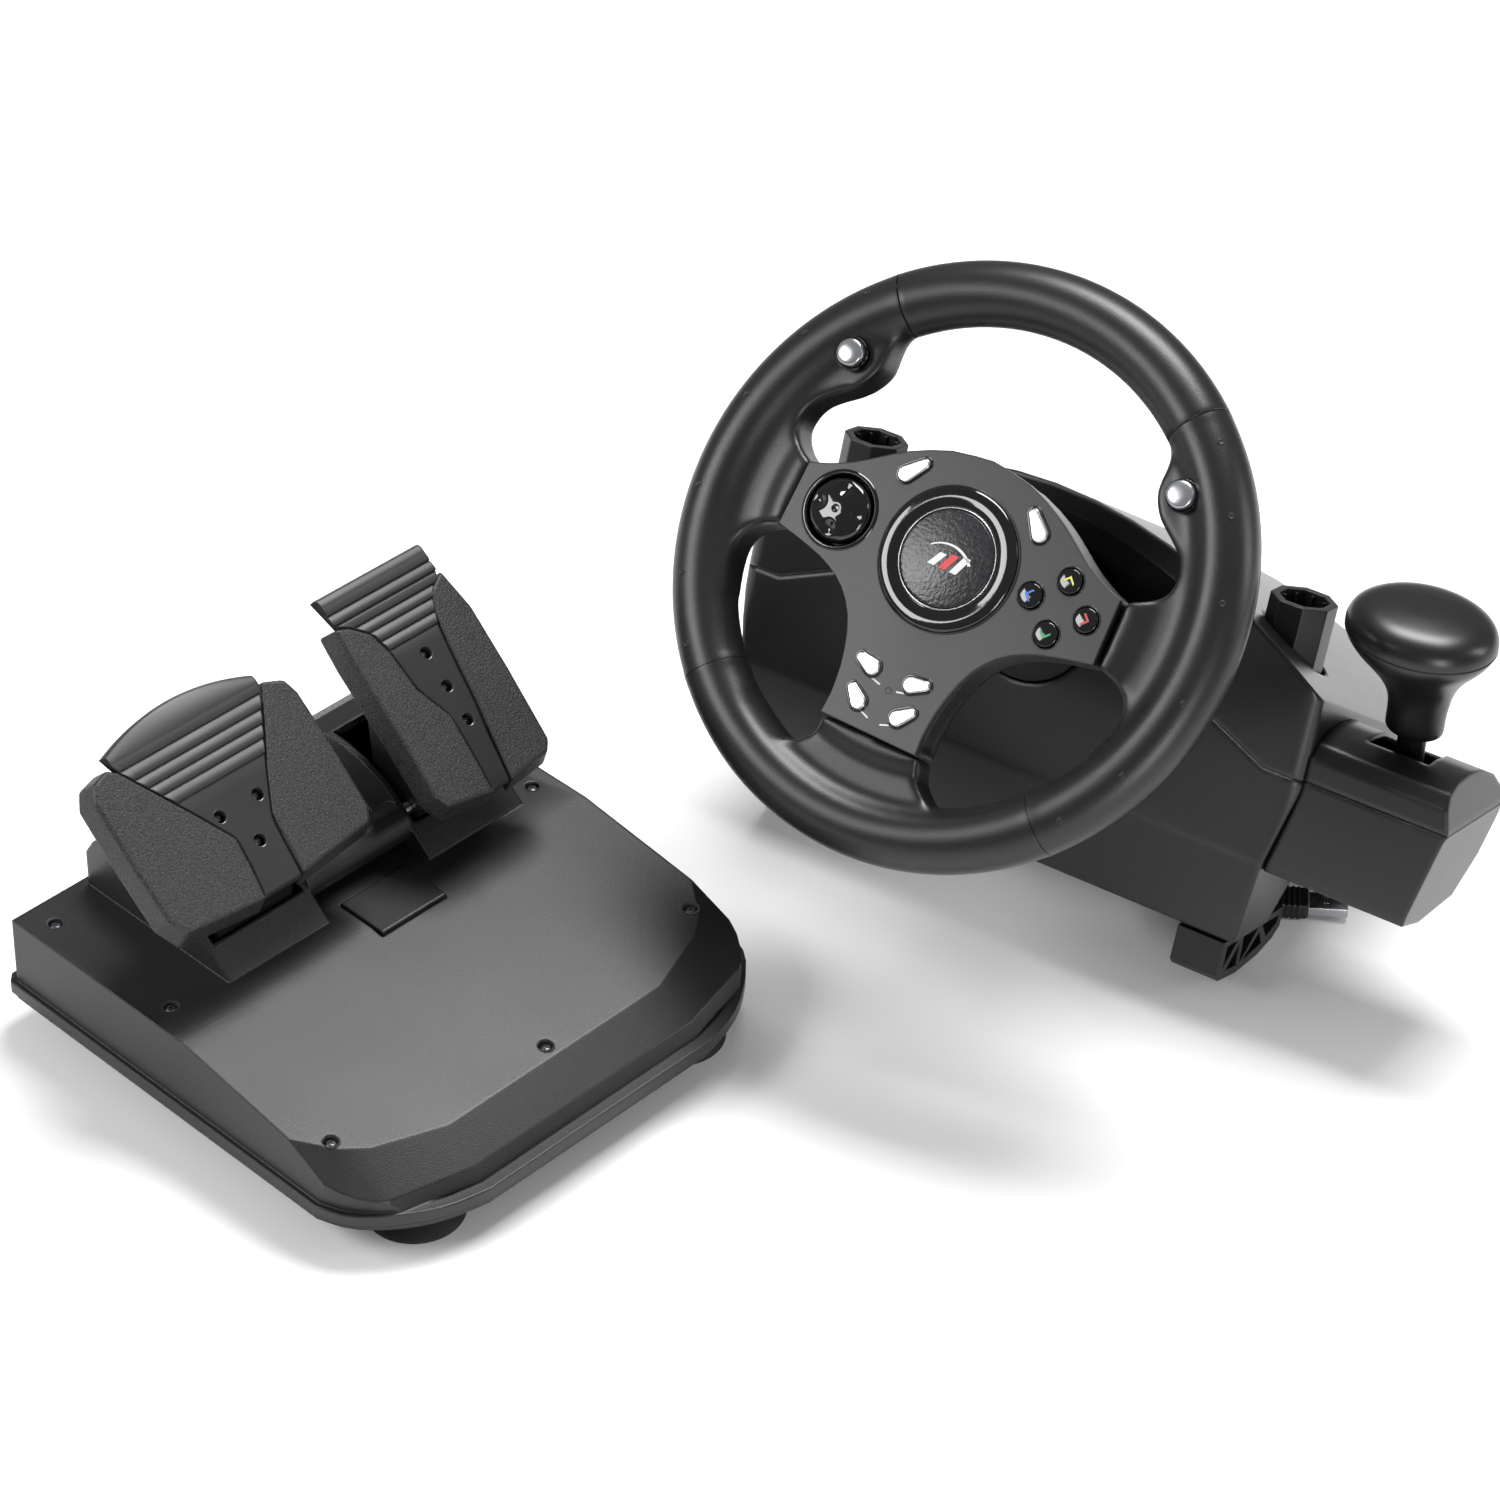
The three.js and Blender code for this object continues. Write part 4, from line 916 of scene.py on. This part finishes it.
def face_rows(pedal):
    """The height of a pedal's middle strip along its length, ribs and bent head included."""
    rows = [(pedal["edge"][0][0], -1.6), (pedal["edge"][0][0] + 1.4, -0.2)]
    y = rows[-1][0] + 3
    while y < pedal["ribs"][0] - 3:
        rows.append((y, 0.0))
        y += 3
    for rib in pedal["ribs"]:
        rows += [(rib - 0.7, -0.3), (rib - 0.4, 0.75), (rib + 0.5, 0.85), (rib + 3.2, 0.5)]
    last = rows[-1][0]
    return rows + [(last + 0.8, 0.45), (last + 2.6, 0.4), (last + 4.4, -0.6), (last + 5.2, -2.4)]


def strip_mesh(pedal):
    """The smooth funnel-shaped strip between a pedal's two grained pads."""
    columns = 24
    bm = bmesh.new()
    rows = face_rows(pedal)
    grid = []
    for y, z in rows:
        left = between(pedal["edge"], y, 1) + 0.3
        right = between(pedal["edge"], y, 2) - 0.3
        row = []
        for i in range(columns + 1):
            t = i / columns
            x = left + (right - left) * t
            rise = pedal["crown"] * (1 - (2 * t - 1) ** 2) * eased((y - pedal["ribs"][-1] - 4) / 1.8)
            row.append(bm.verts.new((x, y + rise, z)))
        grid.append(row)
    low = [[bm.verts.new((v.co.x, v.co.y, -6.5)) for v in row] for row in (grid[0], grid[-1])]
    for a, b in zip(grid, grid[1:]):
        for i in range(columns):
            bm.faces.new((a[i], a[i + 1], b[i + 1], b[i]))
    for i in range(columns):
        bm.faces.new((low[0][i], low[0][i + 1], grid[0][i + 1], grid[0][i]))
        bm.faces.new((low[1][i], low[1][i + 1], grid[-1][i + 1], grid[-1][i]))
    for side in (0, columns):
        bm.faces.new([low[0][side], *[row[side] for row in grid], low[1][side]])
    bm.faces.new([*low[0], *reversed(low[1])])
    return bm


def screw_head(place, x, y, z, radius):
    """A pan head with a cross slot."""
    spot = place @ shift(x, y, z)
    head = lathe("head", [(0, -1.2), (radius, -1.2), (radius, 0.2), (radius - 0.5, 0.75),
                          (radius - 1.2, 1.0), (0, 1.05)], spot, STEEL_DARK, 28)
    for degrees in (20, 110):
        slot = [(-1.5, -0.28), (1.5, -0.28), (1.5, 0.28), (-1.5, 0.28)]
        carved(head, prism("slot", slot, 0.35, 2, spot @ turn(degrees, "Z"), DARK))
    return smoothed(head, 30)


def flare(q, pedal):
    """Sets a pad's lower edge outwards, so that its outer walls slope."""
    half = max(x for x, _ in pedal["right"])
    q.x += math.copysign(3.0 * eased((abs(q.x) - half + 14) / 10), q.x)
    q.y += 1.2 * eased((q.y - pedal["length"] + 20) / 10) - 3.6 * eased((6 - q.y) / 8)


def pedal_face(pedal):
    name, place = pedal["name"], pedal["place"]
    for side in ("left", "right"):
        bm = bmesh.new()
        prism_mesh(bm, pedal[side], -11, 1.3)
        for vertex in bm.verts:
            if vertex.co.z < 0:
                flare(vertex.co, pedal)
        pad = rounded(from_bmesh(f"{name}_pad_{side}", bm, place, PAD), 1.6)
        rides(pad, name)
    strip = from_bmesh(f"{name}_strip", strip_mesh(pedal), place, SPINE)
    rims = []
    for x, y in pedal["holes"]:
        carved(strip, bar_cutter(place, x, y, -4.6, 6, 3.0))
        rims.append(lathe("rim", [(2.95, -3), (3.35, -0.1), (3.25, 0.14), (2.9, 0.02), (2.95, -3)],
                          place @ shift(x, y), BRIGHT, 36))
        rims.append(lathe("well", [(0, -4.4), (2.9, -4.4), (2.9, -4.2), (0, -4.2)],
                          place @ shift(x, y), PIT, 36))
        rims.append(screw_head(place, x, y, -3.4, 2.0))
    rides(smoothed(strip, 32), name, [name + "_spine"])
    rides(joined(f"{name}_screws", rims), name)


def pedal_arm(pedal):
    """The moulded arm from behind the pads down to the pivot."""
    y0, z0 = pedal["low"]
    up, out = math.sin(math.radians(SLOPE)), math.cos(math.radians(SLOPE))

    def under(along, below):
        return (y0 + out * along + up * below, z0 + up * along - out * below)

    length = pedal["length"]
    outline = [under(6, 4.6), under(length - 8, 4.6), under(length - 10, 12),
               under(length * 0.55, 34), (190, 70), (199, 66), (199, 60), (176, 60), (168, 62),
               (162, 65), (160.6, 71)]
    sideways = PEDALS @ shift(pedal["x"]) @ SIDEWAYS
    arm = prism("arm", outline, -21, 21, sideways, DARK, 1.2)
    inner = [(178 + (y - 178) * 0.8, 88 + (z - 88) * 0.8 + 3) for y, z in outline]
    carved(arm, prism("hollow", inner, -18, 18, sideways, DARK))
    carved(arm, bar_cutter(sideways, 168, 70, -40, 40, 3.4))
    half = 30 if pedal["name"] == "brake" else 25.5
    backing = [(-half, 0), (half, 0), (half, length - 8), (-half, length - 8)]
    plate = prism("backing", backing, -7.6, -5.2, pedal["place"], DARK)
    rides(joined(f"{pedal['name']}_arm", [arm, plate]), pedal["name"],
          [pedal["name"] + "_pedal"])


def spring(pedal):
    """A pedal's coil spring, which in the real unit shortens as the pedal goes down; here it is built
    at one length and rides on the base.
    """
    turns, wire, radius, low, high = 8, 0.9, 6.4, 20.2, 58.4
    steps, around = turns * 20, 8
    bm = bmesh.new()
    rows = []
    for i in range(steps + 1):
        t = i / steps
        a = 2 * math.pi * turns * t
        centre = Vector((radius * math.cos(a), radius * math.sin(a), low + (high - low) * t))
        outward = Vector((math.cos(a), math.sin(a), 0))
        row = []
        for k in range(around):
            b = 2 * math.pi * k / around
            offset = math.cos(b) * outward + Vector((0, 0, math.sin(b)))
            row.append(bm.verts.new(centre + wire * offset))
        rows.append(row)
    tube_faces(bm, rows)
    name = pedal["name"]
    place = PEDALS @ shift(pedal["x"], SPRING_Y)
    coil = smoothed(from_bmesh(name + "_coil_spring", bm, place, STEEL), 60)
    rides(coil, "base", [name + "_spring"])
    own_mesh(coil)


def pedal_base():
    def height(y):
        """The top's height, which slopes up from the front and is then level."""
        return 40.5 + (min(y, 131) - 28) / (131 - 28) * 15

    cutters = [bar_cutter(PEDALS, x, y, height(y) - 2.6, 80, 3.4) for x, y in BASE_SCREWS]
    refined("pedal_base_top", BASE, 1.0, 3, cutters, crease=13)
    refined("pedal_hatch", BASE, 0.4, 2)
    refined("pedal_base_bottom", BASE, 0.8, 2)
    heads = []
    for x, y in BASE_SCREWS:
        heads.append(screw_head(PEDALS, x, y, height(y) - 1.7, 2.6))
        heads.append(lathe("rim", [(3.3, -2.4), (3.9, -0.3), (3.8, 0.12), (3.35, 0.05), (3.3, -2.4)],
                           PEDALS @ shift(x, y, height(y)), BRIGHT, 36))
    rides(joined("pedal_base_screws", heads), "base")
    profile = eased_profile([(22, 0), (21.6, 0.9), (19.6, 2.6), (16.4, 4.9), (13, 6.9), (9.4, 8.6),
                             (8.5, 9.6)], 4)
    for row, y in (("front", 33), ("rear", 215)):
        for side, x in (("left", -78), ("right", 78)):
            cup = [(0, 4.0), (9, 2.6), (16, 0.8), (20.6, 0.0), *profile, (8.5, 14.2), (4, 14.2),
                   (4, 22), (0, 22)]
            made = lathe(f"pedal_cup_{row}_{side}", cup, PEDALS @ shift(x, y), RUBBER, 72)
            rides(made, "base", [f"suction_cup_{row}_{side}"])


for pedal in (BRAKE, THROTTLE):
    pedal["place"] = PEDALS @ shift(pedal["x"], *pedal["low"]) @ turn(SLOPE, "X")
    pedal_face(pedal)
    pedal_arm(pedal)
    spring(pedal)
pedal_base()


# ---- cable ends ---------------------------------------------------------------------------------
def relief():
    """A ribbed sleeve that guides the cable out of the housing."""
    profile = [(0, -6), (4.6, -6), (4.6, 5)]
    for i in range(7):
        z = 6 + 3.2 * i
        r = 4.4 - 0.26 * i
        profile += [(r, z), (r, z + 1.9), (r - 0.6, z + 2.2), (r - 0.6, z + 2.9)]
    profile += [(2.6, 29), (2.5, 30), (0, 30)]
    place = LEANING @ shift(40, 213, 62) @ turn(-90, "X")
    made = lathe("cable_relief_sleeve", profile, place, RUBBER, 40)
    return rides(made, "base", ["cable_relief"])


def plug():
    """A USB plug: a ribbed grip and a metal shell with two latch holes."""
    place = WHOLE @ shift(106, 106, 4.6) @ turn(28, "Z")
    grip = [(6, -5), (8, -7.2), (24, -7.2), (26, -6.2), (26, 6.2), (24, 7.2), (8, 7.2), (6, 5)]
    parts = [prism("grip", grip, -4.1, 4.1, place, DARK, 1.1)]
    for i in range(5):
        x = 10 + 2.6 * i
        rib = [(x, -7.35), (x + 1.2, -7.35), (x + 1.2, 7.35), (x, 7.35)]
        parts.append(prism("rib", rib, -4.2, 4.2, place, DARK, 0.3))
    sleeve = [(0, -8), (2.7, -8), (3.2, -4), (3.7, 2), (4, 7), (0, 7)]
    parts.append(lathe("sleeve", sleeve, place @ turn(90, "Y"), DARK, 32))
    shell = [(25, -6), (44, -6), (44, 6), (25, 6)]
    metal = prism("shell", shell, -2.3, 2.3, place, STEEL, 0.3)
    hollow = [(30, -5.5), (50, -5.5), (50, 5.5), (30, 5.5)]
    carved(metal, prism("hollow", hollow, 0, 1.8, place, STEEL))
    for y in (-2.9, 2.9):
        latch = [(33, y - 1.1), (35.4, y - 1.1), (35.4, y + 1.1), (33, y + 1.1)]
        carved(metal, prism("latch", latch, 1.0, 3, place, STEEL))
    parts.append(smoothed(metal))
    return rides(joined("usb_plug", parts), "base", ["cable_plug"])


def tie():
    """A small strap round the coil."""
    outside = [(12.4, 0.0), (30, 0.0), (34.8, 0.2), (34.9, 7.4), (31, 9.4), (26.2, 12.9),
               (13.6, 12.9), (12.4, 11.6)]
    thick, middle = 0.5, 23.6
    inside = []
    for x, z in outside:
        if z > 0.1:
            x += math.copysign(thick, middle - x)
        inside.append((x, z - thick if z > 7 else max(z, 0.12)))
    bm = bmesh.new()
    rows = []
    for y in (-1.8, 1.8):
        rows.append([[bm.verts.new((x, y, z)) for x, z in line] for line in (outside, inside)])
    count = len(outside)
    for i in range(count):
        j = (i + 1) % count
        (a, c), (b, d) = rows
        bm.faces.new((a[i], a[j], b[j], b[i]))
        bm.faces.new((c[i], d[i], d[j], c[j]))
        bm.faces.new((a[i], c[i], c[j], a[j]))
        bm.faces.new((b[i], b[j], d[j], d[i]))
    place = WHOLE @ shift(*COIL) @ turn(60, "Z")
    made = smoothed(from_bmesh("cable_tie", bm, place, RUBBER), 60)
    return rides(made, "base")


def finish_cable():
    cable.data.materials.append(CORD)
    rides(cable, "base", ["cable_coil", "cable_run"])
    relief()
    plug()
    tie()


finish_cable()


# ---- CAD nodes that keep their shape and only take a material --------------------------------------
KEPT = {
    "hub_board": BOARD, "main_board": BOARD, "steering_shaft": STEEL, "dpad_pivot": DARK,
    "sensor_pinion": DARK, "gear_lever": DARK, "rumble_motor_left": STEEL, "rumble_motor_right": STEEL,
    "rumble_weight_left": STEEL, "rumble_weight_right": STEEL, "rear_foot": RUBBER,
    "pedal_shaft": STEEL,
}
for node, material in KEPT.items():
    frame["nodes"][node].data.materials.clear()
    frame["nodes"][node].data.materials.append(material)
